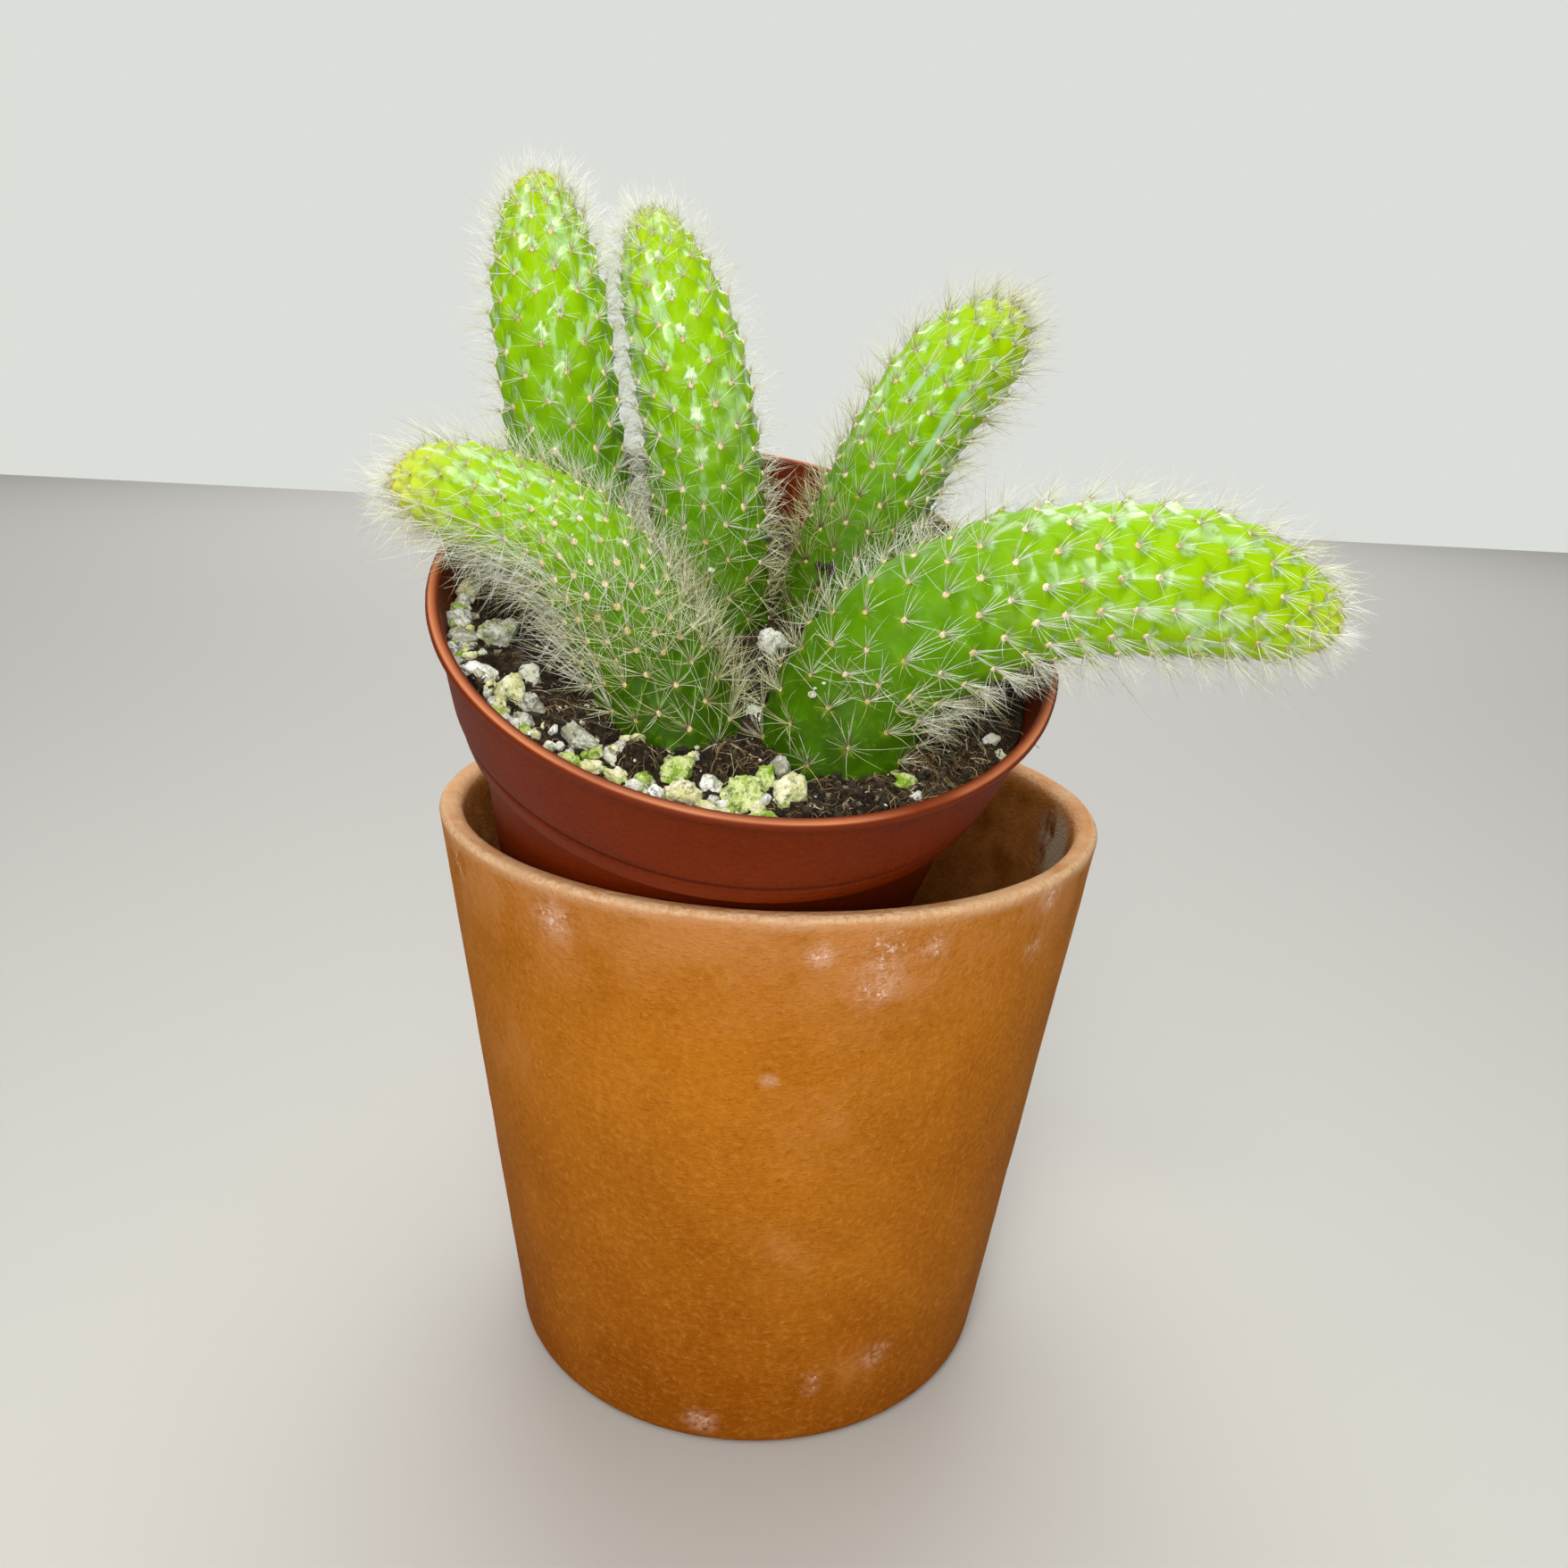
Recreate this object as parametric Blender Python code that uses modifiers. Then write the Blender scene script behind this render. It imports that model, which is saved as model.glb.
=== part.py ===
"""A monkey tail cactus with five stems, in a plastic nursery pot that stands tilted in a clay pot.

The clay pot stands upright, with the origin at the centre of its base and +Z up. The nursery pot is
laid into it at a slant: its bottom edge leans on the back of the clay wall and its side rests on the
front of the clay rim. The soil, the stones on it and the roots of the stems are placed in the nursery
pot's own frame, whose origin is the centre of its rim and whose +Z is its axis. The stems are curves
in the upright frame, because they turn up, and then over, by their own weight.
"""

import math
import random
from dataclasses import dataclass
from typing import NamedTuple

import bmesh
import bpy
import numpy as np
from mathutils import Matrix, Vector, noise

MM = 0.001
GAP = 0.3 * MM
MERGE = 0.001 * MM

# Clay pot, upright
CLAY_HEIGHT = 120 * MM
CLAY_RIM_RADIUS = 67 * MM
CLAY_BASE_RADIUS = 51.7 * MM
CLAY_FLOOR = 8 * MM
CLAY_INNER_TOP_RADIUS = 62.4 * MM
CLAY_INNER_FLOOR_RADIUS = 45.4 * MM
CLAY_EDGE_ROUND = 2.2 * MM
CLAY_FOOT_ROUND = 3.5 * MM
CLAY_STEPS = 48

# Nursery pot, in its own frame, with z = 0 at the top of the lip
POT_TILT = math.radians(26.5)
POT_TILT_AZIMUTH = math.radians(-74.7)
POT_RIM_CENTRE = Vector((-4.9, -31.1, 164.1)) * MM
POT_LIP_RADIUS = 55.2 * MM
POT_LIP_HEIGHT = 2.2 * MM
POT_COLLAR_TOP_RADIUS = 53.9 * MM
POT_GROOVE_RADIUS = 50.9 * MM
POT_GROOVE_LEVEL = -18.5 * MM
POT_GROOVE_DEPTH = 0.5 * MM
POT_COLLAR_FOOT_RADIUS = 49.9 * MM
POT_COLLAR_FOOT_LEVEL = -23.1 * MM
POT_BODY_RADIUS = 46.6 * MM
POT_BASE_RADIUS = 38.5 * MM
POT_HEIGHT = 99 * MM
POT_WALL = 1.2 * MM
POT_LIP_FLARE = 0.3 * MM
POT_STEPS = 40
DRAIN_HOLES = 6
DRAIN_HOLE_RADIUS = 3.5 * MM
DRAIN_HOLE_SIDES = 10
DRAIN_DRILL_LENGTH = 6 * POT_WALL
DRAIN_RING_RADIUS = 25 * MM

# Soil surface, in the nursery pot's frame: it has slid towards the low side of the tilted pot
SOIL_LEVEL = -8.2 * MM
SOIL_SLOPE = -0.11
SOIL_RIPPLE = 0.5 * MM
SOIL_WAVE_X = 4.1 * MM
SOIL_WAVE_Y = 5.3 * MM
SOIL_WAVE_START = 1.3
SOIL_CELL = 6.6 * MM
SLAB_REACH = 30 * MM
HOLE_CLEARANCE = 0.35 * MM

# Stones: the share of the height that lies between soil and centre, and how the ball is reshaped
STONE_RISE = 0.2
STONE_MEAN_SCALE = 1.12
STONE_WOBBLE = 0.3
STONE_WOBBLE_PITCH = 1.3
STONE_REACH = 0.6
STONE_ROOM_HEIGHT = 12 * MM
STONE_SEED = 11

# Stems and their spines
STEM_RIBS = 14
AREOLE_PITCH = 6.5 * MM
TIP_AREOLE_PITCH = 5.2 * MM
TUBERCLE_HEIGHT = 0.4 * MM
ROOT_END_LENGTH = 5 * MM
PATH_STEP = 0.5 * MM
CURVE_POINTS = 40
THIN_RING = 0.35
THIN_RING_STRIDE = 4
SPINE_FOOT_SHARES = (0.4, 0.3, 0.3)
SPINE_RADIUS = 0.26 * MM
SPINE_SINK = 1.0 * MM
SPINE_LENGTHS = (5.5 * MM, 8.0 * MM)
SPINE_TILTS = (math.radians(20), math.radians(55))
SPINE_BEARING_SPREAD = 65
SPINE_LEVEL_AHEAD = 0.1
SPINE_SHORTENING = 0.06
SPINE_TRIES = 8
SPINE_SEED = 27

CLAY = ("clay", (0.46, 0.17, 0.05), 0.85)
PLASTIC = ("nursery_plastic", (0.24, 0.045, 0.012), 0.5)
PEAT = ("peat", (0.035, 0.022, 0.014), 0.95)
SKIN = ("cactus_skin", (0.16, 0.42, 0.015), 0.4)
STONE_TINTS = {
    "white": ("pumice_white", (0.75, 0.75, 0.72), 0.9),
    "cream": ("pumice_cream", (0.68, 0.62, 0.36), 0.9),
    "grey": ("pumice_grey", (0.46, 0.46, 0.40), 0.9),
    "green": ("pumice_green", (0.36, 0.50, 0.07), 0.9),
}


@dataclass(frozen=True)
class Stem:
    """One stem: its centre line from root end to tip in millimetres, and its radii in millimetres."""

    name: str
    path: tuple
    root_radius: float
    top_radius: float
    tip_length: float


@dataclass(frozen=True)
class Stone:
    """One stone: its place on the soil, its length, width and height in millimetres, and its turn."""

    tint: str
    x: float
    y: float
    size: tuple
    turn: float = 0.0


class Ring(NamedTuple):
    """One ring of a stem's skin: its centre, two axes across the stem, and the axis along it."""

    centre: Vector
    first: Vector
    second: Vector
    tangent: Vector
    radius: float
    slope: float


STEMS = (
    Stem("stem_front_left",
         ((-14, -53, 134.5), (-17, -51.5, 147), (-21.5, -46.5, 156), (-27.5, -41.5, 165.5),
          (-35.5, -37.5, 173.5), (-46.5, -35, 178.5), (-57.5, -32.5, 181), (-67, -31.5, 181)),
         12.0, 8.6, 16),
    Stem("stem_back_left",
         ((-36, -13, 150), (-36, -16, 164.5), (-39, -14.5, 179), (-42, -12.5, 199.5),
          (-45, -8.5, 219), (-46.5, -6, 235)),
         10.6, 10.3, 28),
    Stem("stem_back_middle",
         ((-13, -16.5, 143), (-12.5, -18, 157.5), (-14, -14, 175), (-16, -10, 190.5),
          (-19.5, -6, 206), (-24, -3.5, 219), (-28, -1, 230.5)),
         10.6, 10.5, 32),
    Stem("stem_back_right",
         ((5.5, -8, 147), (9.5, -10, 161.5), (14.5, -6, 174), (20.5, -2, 187.5),
          (28.5, 4, 201.5), (36, 7.5, 209), (44, 11, 217)),
         10.4, 10.4, 20),
    Stem("stem_front_right",
         ((7.5, -48.5, 132), (10, -51.5, 145), (14, -49.5, 154.5), (21.5, -48.5, 162),
          (31.5, -46, 167.5), (40.5, -44, 171), (55.5, -41.5, 172.5), (71, -39.5, 172),
          (84, -39, 169), (95, -39, 165.5)),
         12.8, 12.5, 36),
)

# Lumps of the soil surface: x, y, height and reach in millimetres
SOIL_LUMPS = (
    (-14.5, -43.5, 2.6, 4.2),
    (-1.0, -40.5, 2.6, 4.6),
    (-41.5, -30.5, 1.8, 3.2),
    (20, -42, 1.0, 6.0),
    (33, -20, 1.6, 9.0),
    (0, 38, 1.4, 10.0),
    (-45, 2, 1.0, 6.0),
)

STONES = (
    Stone("cream", -49.6, -1.2, (3.8, 4.4, 3.4), 10),
    Stone("white", -49.4, -9.2, (3.9, 3.8, 3.2)),
    Stone("grey", -47.2, -14.4, (5.2, 2.8, 2.4), -20),
    Stone("grey", -41.8, -13.4, (4.2, 5.4, 4.0), -25),
    Stone("white", -48.2, -18.6, (2.2, 2.2, 1.8)),
    Stone("white", -46.8, -22.2, (2.1, 2.3, 1.8), 40),
    Stone("white", -42.4, -25.4, (5.4, 2.6, 2.8), -15),
    Stone("cream", -36.4, -29.6, (4.4, 5.8, 4.4), 10),
    Stone("grey", -34.2, -24.0, (2.8, 4.0, 3.0), 10),
    Stone("grey", -32.2, -32.0, (3.4, 3.4, 3.0)),
    Stone("green", -36.8, -34.6, (2.8, 2.2, 2.0), 30),
    Stone("grey", -32.4, -36.0, (2.8, 2.6, 2.4)),
    Stone("white", -30.2, -39.6, (2.0, 1.8, 1.6)),
    Stone("grey", -23.6, -38.2, (5.4, 2.8, 2.6), -35),
    Stone("green", -24.4, -44.0, (3.5, 2.2, 2.0), -20),
    Stone("cream", -20.4, -45.6, (3.2, 2.4, 2.0), -20),
    Stone("green", -20.6, -42.4, (2.4, 2.2, 2.2)),
    Stone("cream", -16.8, -47.6, (2.8, 2.0, 1.8), -20),
    Stone("white", -13.8, -49.2, (2.2, 1.8, 1.6)),
    Stone("green", -8.4, -44.2, (5.6, 4.4, 3.6), 25),
    Stone("cream", -5.6, -40.4, (2.6, 2.2, 2.0)),
    Stone("white", -10.6, -49.8, (2.4, 2.2, 2.0)),
    Stone("cream", -6.4, -49.0, (4.4, 3.6, 3.4), 15),
    Stone("white", -2.9, -46.2, (2.9, 2.8, 2.6)),
    Stone("green", 2.4, -46.6, (7.2, 4.6, 3.8), 20),
    Stone("green", 5.4, -42.4, (2.6, 3.4, 3.4), -10),
    Stone("grey", 7.4, -38.8, (3.6, 3.8, 3.2), -30),
    Stone("cream", 9.0, -45.4, (5.2, 4.8, 4.2), 35),
    Stone("cream", -2.9, -50.6, (3.2, 1.8, 1.8), -5),
    Stone("cream", 0.4, -51.0, (2.4, 1.6, 1.6), 5),
    Stone("green", 5.4, -50.6, (3.4, 2.0, 1.9), 5),
    Stone("white", 4.0, -24.6, (4.2, 2.6, 2.4), -25),
    Stone("white", 4.6, -1.6, (4.0, 4.2, 4.0), 20),
    Stone("green", 27.4, -36.6, (2.6, 2.4, 2.0)),
    Stone("white", 29.2, -40.2, (1.8, 1.6, 1.5)),
    Stone("white", 42.6, -21.6, (2.8, 1.8, 1.7), 35),
    Stone("white", 44.2, -25.4, (1.6, 2.0, 1.6)),
    Stone("cream", 37.0, 6.0, (3.6, 3.0, 2.6), 50),
    Stone("grey", 41.0, 18.0, (4.0, 3.2, 3.0), 15),
    Stone("white", 30.0, 34.0, (3.4, 3.0, 2.8), 80),
    Stone("cream", -1.0, 44.0, (4.2, 3.4, 3.0), 25),
    Stone("grey", -16.0, 40.0, (3.4, 2.8, 2.6), -30),
    Stone("white", -46.0, 14.0, (3.0, 2.6, 2.4), 60),
)


def tilted_frame():
    """The nursery pot's frame: a turn about a level line, then a move to the centre of its rim."""
    hinge = Vector((-math.sin(POT_TILT_AZIMUTH), math.cos(POT_TILT_AZIMUTH), 0))
    return Matrix.Translation(POT_RIM_CENTRE) @ Matrix.Rotation(POT_TILT, 4, hinge)


def start_collection(name, parent):
    """A new collection under its parent."""
    collection = bpy.data.collections.new(name)
    parent.children.link(collection)
    return collection


def finish_material(finish):
    """The material of a finish, made at its first use."""
    name, colour, roughness = finish
    material = bpy.data.materials.get(name)
    if material is None:
        material = bpy.data.materials.new(name)
        material.use_nodes = True
        shader = material.node_tree.nodes["Principled BSDF"]
        shader.inputs["Base Color"].default_value = (*colour, 1)
        shader.inputs["Roughness"].default_value = roughness
        shader.inputs["Metallic"].default_value = 0
    return material


def add_object(name, mesh, collection, finish=None):
    """A new object in a collection, with its finish."""
    item = bpy.data.objects.new(name, mesh)
    collection.objects.link(item)
    if finish:
        mesh.materials.append(finish_material(finish))
    return item


def hide_from_render(item):
    """Marks an object that only shapes others."""
    item.hide_render = True
    item.display_type = "WIRE"
    return item


def add_cutter(name, mesh, cutters):
    """A new object that only shapes others."""
    return hide_from_render(add_object(name, mesh, cutters))


def arc(centre, radius, start, end, points):
    """Points of an arc of a profile, from one angle to another in degrees."""
    angles = [math.radians(start + (end - start) * i / (points - 1)) for i in range(points)]
    return [(centre[0] + radius * math.cos(a), centre[1] + radius * math.sin(a)) for a in angles]


def turned(name, profile, steps, collection, finish=None):
    """A turned body: a profile of (radius, height) points, carried once round the Z axis."""
    mesh = bpy.data.meshes.new(name)
    points = [(radius, 0, height) for radius, height in profile]
    mesh.from_pydata(points, [(i, i + 1) for i in range(len(points) - 1)], [])
    item = add_object(name, mesh, collection, finish)
    screw = item.modifiers.new("turn", "SCREW")
    screw.steps = steps
    screw.render_steps = steps
    screw.use_merge_vertices = True
    screw.merge_threshold = MERGE
    return item


def boolean(item, cutter, operation):
    """A Boolean modifier on a body; the cutter is an object, or a collection of objects."""
    change = item.modifiers.new(operation.lower(), "BOOLEAN")
    change.operation = operation
    change.solver = "EXACT"
    if isinstance(cutter, bpy.types.Collection):
        change.operand_type = "COLLECTION"
        change.collection = cutter
    else:
        change.object = cutter
    return change


def apply_modifiers(item, sharp_angle=None):
    """Makes the modified mesh the object's own, and shades it smooth up to an angle in degrees."""
    bpy.context.view_layer.update()
    evaluated = item.evaluated_get(bpy.context.evaluated_depsgraph_get())
    mesh = bpy.data.meshes.new_from_object(evaluated)
    item.modifiers.clear()
    item.data = mesh
    if sharp_angle is not None:
        mesh.shade_smooth()
        mesh.set_sharp_from_angle(angle=math.radians(sharp_angle))


# Clay pot


def clay_outer_radius(height):
    """Outer radius of the clay pot at a height."""
    return CLAY_BASE_RADIUS + (CLAY_RIM_RADIUS - CLAY_BASE_RADIUS) * height / CLAY_HEIGHT


def clay_pot(collection):
    """The plain tapered clay pot, with rounded edges and a thick floor."""
    rim_round = CLAY_EDGE_ROUND
    foot = CLAY_FOOT_ROUND
    inner_spread = CLAY_INNER_TOP_RADIUS - CLAY_INNER_FLOOR_RADIUS
    inner_lean = math.degrees(math.atan2(inner_spread, CLAY_HEIGHT - CLAY_FLOOR))
    outer_lean = math.degrees(math.atan2(CLAY_RIM_RADIUS - CLAY_BASE_RADIUS, CLAY_HEIGHT))
    floor_centre = (CLAY_INNER_FLOOR_RADIUS - foot, CLAY_FLOOR + foot)
    inner_rim = (CLAY_INNER_TOP_RADIUS + rim_round, CLAY_HEIGHT - rim_round)
    outer_rim = (CLAY_RIM_RADIUS - rim_round, CLAY_HEIGHT - rim_round)
    foot_centre = (clay_outer_radius(foot) - foot, foot)
    profile = [(0, CLAY_FLOOR)]
    profile += arc(floor_centre, foot, -90, 0, points=3)
    profile += arc(inner_rim, rim_round, 180 - inner_lean, 90, points=4)
    profile += arc(outer_rim, rim_round, 90, -outer_lean, points=4)
    profile += arc(foot_centre, foot, -outer_lean, -90, points=4)
    profile += [(0, 0)]
    pot = turned("terracotta_pot", profile, CLAY_STEPS, collection, CLAY)
    apply_modifiers(pot, 50)
    return pot


# Nursery pot and its soil, in the tilted frame


def pot_outer_profile():
    """The outside of the nursery pot, from the lip down to the base."""
    lip_round = POT_LIP_HEIGHT / 2
    lip_centre = (POT_LIP_RADIUS - lip_round, -lip_round)
    groove = POT_GROOVE_DEPTH
    return arc(lip_centre, lip_round, 90, -90, points=5) + [
        (POT_COLLAR_TOP_RADIUS, -POT_LIP_HEIGHT),
        (POT_GROOVE_RADIUS + groove / 2, POT_GROOVE_LEVEL + groove),
        (POT_GROOVE_RADIUS - groove, POT_GROOVE_LEVEL),
        (POT_GROOVE_RADIUS - groove / 4, POT_GROOVE_LEVEL - groove),
        (POT_COLLAR_FOOT_RADIUS, POT_COLLAR_FOOT_LEVEL),
        (POT_BODY_RADIUS + groove, POT_COLLAR_FOOT_LEVEL - groove),
        (POT_BODY_RADIUS, POT_COLLAR_FOOT_LEVEL - 2 * groove),
        (POT_BASE_RADIUS + groove, -POT_HEIGHT + groove),
        (POT_BASE_RADIUS, -POT_HEIGHT),
    ]


def pot_inner_profile(clearance=0.0):
    """The inside of the nursery pot, from the base up to the lip, less a clearance."""
    wall = POT_WALL + clearance
    return [
        (POT_BASE_RADIUS - wall, -POT_HEIGHT + wall),
        (POT_BODY_RADIUS - wall, POT_COLLAR_FOOT_LEVEL),
        (POT_COLLAR_FOOT_RADIUS - wall, POT_COLLAR_FOOT_LEVEL + POT_WALL),
        (POT_COLLAR_TOP_RADIUS - wall, -POT_LIP_HEIGHT),
        (POT_COLLAR_TOP_RADIUS - wall + POT_LIP_FLARE, 0),
    ]


def pot_inner_radius(height):
    """Inner radius of the nursery pot at a height in its own frame."""
    radii, heights = zip(*pot_inner_profile())
    return float(np.interp(height, heights, radii))


def nursery_pot(collection, cutters, seat):
    """The thin plastic pot with its rolled lip, collar, groove and drain holes."""
    inside = pot_inner_profile()
    profile = [(0, inside[0][1])] + inside + pot_outer_profile() + [(0, -POT_HEIGHT)]
    pot = turned("nursery_pot", profile, POT_STEPS, collection, PLASTIC)
    pot.parent = seat
    mesh = bpy.data.meshes.new("drain_holes")
    drill = bmesh.new()
    for i in range(DRAIN_HOLES):
        angle = 2 * math.pi * i / DRAIN_HOLES
        spot = Vector((math.cos(angle), math.sin(angle), 0)) * DRAIN_RING_RADIUS
        spot.z = -POT_HEIGHT
        bmesh.ops.create_cone(drill, cap_ends=True, segments=DRAIN_HOLE_SIDES,
                              radius1=DRAIN_HOLE_RADIUS, radius2=DRAIN_HOLE_RADIUS,
                              depth=DRAIN_DRILL_LENGTH, matrix=Matrix.Translation(spot))
    drill.to_mesh(mesh)
    drill.free()
    holes = add_cutter("drain_holes", mesh, cutters)
    holes.parent = seat
    boolean(pot, holes, "DIFFERENCE")
    apply_modifiers(pot, 40)
    return pot


def soil_height(x, y):
    """Height of the soil surface: a slope, a ripple of two waves and round lumps."""
    height = SOIL_LEVEL + SOIL_SLOPE * y
    wave = np.sin(x / SOIL_WAVE_X + SOIL_WAVE_START) * np.cos(y / SOIL_WAVE_Y)
    height = height + SOIL_RIPPLE * wave
    for lump_x, lump_y, lump_height, reach in SOIL_LUMPS:
        distance = (x - lump_x * MM) ** 2 + (y - lump_y * MM) ** 2
        height = height + lump_height * MM * np.exp(-distance / (reach * MM) ** 2)
    return height


def soil_slab(name, offset, thickness, cutters, seat):
    """A slab whose near face follows the soil surface at an offset; a thickness above 0 goes up."""
    half = POT_LIP_RADIUS + SOIL_CELL
    cells = round(2 * half / SOIL_CELL)
    sheet = bmesh.new()
    bmesh.ops.create_grid(sheet, x_segments=cells, y_segments=cells, size=half)
    for vertex in sheet.verts:
        vertex.co.z = float(soil_height(vertex.co.x, vertex.co.y)) + offset
    bmesh.ops.triangulate(sheet, faces=sheet.faces)
    grown = bmesh.ops.extrude_face_region(sheet, geom=sheet.faces[:])
    for vertex in grown["geom"]:
        if isinstance(vertex, bmesh.types.BMVert):
            vertex.co.z = thickness
    bmesh.ops.recalc_face_normals(sheet, faces=sheet.faces)
    mesh = bpy.data.meshes.new(name)
    sheet.to_mesh(mesh)
    sheet.free()
    slab = add_cutter(name, mesh, cutters)
    slab.parent = seat
    return slab


def soil(collection, cutters, seat):
    """The root ball of soil: it fills the pot, with the air and the stems cut out of it."""
    inside = pot_inner_profile(GAP)
    profile = [(0, 0), (inside[-1][0], 0)] + inside[-2::-1] + [(0, inside[0][1])]
    ball = turned("soil", profile, POT_STEPS, collection, PEAT)
    ball.parent = seat
    boolean(ball, soil_slab("air_over_soil", 0, SLAB_REACH, cutters, seat), "DIFFERENCE")
    for stem in STEMS:
        mesh = stem_mesh(stem, "hole_" + stem.name, TUBERCLE_HEIGHT + HOLE_CLEARANCE)
        boolean(ball, add_cutter("hole_" + stem.name, mesh, cutters), "DIFFERENCE")
    apply_modifiers(ball)
    return ball


# Stones


def stone_centre(stone):
    """Centre of a stone in the nursery pot's frame: a little above the soil it is bedded in."""
    x = stone.x * MM
    y = stone.y * MM
    return Vector((x, y, float(soil_height(x, y)) + STONE_RISE * stone.size[2] * MM))


def stone_mesh(name, stone, shape, swell=0.0):
    """A rounded lump: a ball scaled to the stone's size, with its points moved in and out."""
    rock = bmesh.new()
    bmesh.ops.create_icosphere(rock, subdivisions=1, radius=1)
    offset = Vector((shape.uniform(0, 50), shape.uniform(0, 50), shape.uniform(0, 50)))
    turn = Matrix.Rotation(math.radians(stone.turn), 3, "Z")
    for vertex in rock.verts:
        bump = noise.noise(vertex.co * STONE_WOBBLE_PITCH + offset)
        wobble = STONE_MEAN_SCALE + STONE_WOBBLE * bump
        half = [0.5 * side * MM * wobble + swell for side in stone.size]
        spread = Vector([vertex.co[i] * half[i] for i in range(3)])
        vertex.co = turn @ spread + stone_centre(stone)
    mesh = bpy.data.meshes.new(name)
    rock.to_mesh(mesh)
    rock.free()
    return mesh


def stones(collection, cutters, seat):
    """The stones, each cut clear of the soil, the pot, the stems and the stones before it."""
    ground = soil_slab("ground_under_stones", GAP, -SLAB_REACH, cutters, seat)
    inside = pot_inner_profile(GAP)
    ceiling = inside[-1][1] + STONE_ROOM_HEIGHT
    profile = [(0, ceiling), (inside[-1][0], ceiling)] + inside[-1:0:-1] + [(0, inside[1][1])]
    room = hide_from_render(turned("room_in_pot", profile, POT_STEPS, cutters))
    room.parent = seat
    to_tilted = tilted_frame().inverted()
    placed = []
    for number, stone in enumerate(STONES, start=1):
        name = f"stone_{number:02d}_{stone.tint}"
        mesh = stone_mesh(name, stone, random.Random(STONE_SEED + number))
        rock = add_object(name, mesh, collection, STONE_TINTS[stone.tint])
        rock.parent = seat
        boolean(rock, ground, "DIFFERENCE")
        centre = stone_centre(stone)
        reach = STONE_REACH * max(stone.size) * MM
        if math.hypot(centre.x, centre.y) + reach > pot_inner_radius(centre.z) - GAP:
            boolean(rock, room, "INTERSECT")
        for stem in STEMS:
            path = stem_path(stem)
            nearest = min((to_tilted @ Vector(point) - centre).length for point in path)
            if nearest < stem.root_radius * MM + reach + HOLE_CLEARANCE:
                boolean(rock, bpy.data.objects["hole_" + stem.name], "DIFFERENCE")
        for other_centre, other_reach, hull in placed:
            if (other_centre - centre).length < reach + other_reach + GAP:
                boolean(rock, hull, "DIFFERENCE")
        hull_name = f"hull_{number:02d}"
        hull_mesh = stone_mesh(hull_name, stone, random.Random(STONE_SEED + number), GAP)
        hull = add_cutter(hull_name, hull_mesh, cutters)
        hull.parent = seat
        placed.append((centre, reach, hull))
        apply_modifiers(rock)


# Stems


def stem_path(stem):
    """Evenly spaced points of a smooth curve through the stem's own points."""
    points = np.array(stem.path, dtype=float) * MM
    padded = np.vstack([2 * points[0] - points[1], points, 2 * points[-1] - points[-2]])
    t = np.linspace(0, 1, CURVE_POINTS, endpoint=False)[:, None]
    pieces = []
    for a, b, c, d in zip(padded, padded[1:], padded[2:], padded[3:]):
        pieces.append(0.5 * (2 * b + (c - a) * t + (2 * a - 5 * b + 4 * c - d) * t ** 2
                             + (3 * b - a - 3 * c + d) * t ** 3))
    curve = np.vstack(pieces + [points[-1:]])
    along = np.concatenate([[0], np.cumsum(np.linalg.norm(np.diff(curve, axis=0), axis=1))])
    even = np.linspace(0, along[-1], round(along[-1] / PATH_STEP) + 1)
    return np.column_stack([np.interp(even, along, curve[:, i]) for i in range(3)])


def ring_levels(stem, length):
    """Place along the stem, radius, and outward slope of each ring, from the root end to the tip.

    The body is straight or slightly tapered, and the tip is a half ellipsoid. The rings lie half an
    areole pitch apart, measured over the skin, and draw closer towards the tip.
    """
    tip = stem.tip_length * MM
    body = length - tip
    root = stem.root_radius * MM
    top = stem.top_radius * MM
    count = round((body - ROOT_END_LENGTH) / (AREOLE_PITCH / 2))
    levels = []
    for i in range(count):
        share = i / count
        levels.append((ROOT_END_LENGTH + share * (body - ROOT_END_LENGTH),
                       root + share * (top - root), 0.0))
    quarter = math.pi / 2 * math.sqrt((tip ** 2 + top ** 2) / 2)
    rings = round(quarter / (TIP_AREOLE_PITCH / 2))
    for i in range(rings):
        angle = math.pi / 2 * i / rings
        slope = math.atan2(math.sin(angle) / tip, math.cos(angle) / top)
        levels.append((body + tip * math.sin(angle), top * math.cos(angle), slope))
    return levels


def stem_rings(stem):
    """The stem's rings, from the root end to the tip, and the two ends of its centre line."""
    path = stem_path(stem)
    length = PATH_STEP * (len(path) - 1)
    levels = ring_levels(stem, length)
    tangents = np.gradient(path, axis=0)
    tangents /= np.linalg.norm(tangents, axis=1)[:, None]
    side = Vector((1, 0, 0)).cross(Vector(tangents[0])).normalized()
    sides = [side]
    for before, after in zip(tangents, tangents[1:]):
        side = Vector(before).rotation_difference(Vector(after)) @ side
        sides.append(side)
    rings = []
    for place, radius, slope in levels:
        i = min(round(place / PATH_STEP), len(path) - 1)
        tangent = Vector(tangents[i])
        first = (sides[i] - sides[i].dot(tangent) * tangent).normalized()
        rings.append(Ring(Vector(path[i]), first, tangent.cross(first), tangent, radius, slope))
    return rings, Vector(path[0]), Vector(path[-1])


def ring_point(ring, column, lift):
    """A point of a ring and the skin's outward direction there."""
    angle = 2 * math.pi * column / STEM_RIBS
    outward = ring.first * math.cos(angle) + ring.second * math.sin(angle)
    normal = outward * math.cos(ring.slope) + ring.tangent * math.sin(ring.slope)
    return ring.centre + outward * ring.radius + normal * lift, normal


def tubercle_lift(row, column, radius, widest):
    """Height of the skin at a lattice point: low knobs, set like bricks, that fade at the tip."""
    height = TUBERCLE_HEIGHT * math.sqrt(radius / widest)
    return height if (row + column) % 2 == 0 else -height


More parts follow.
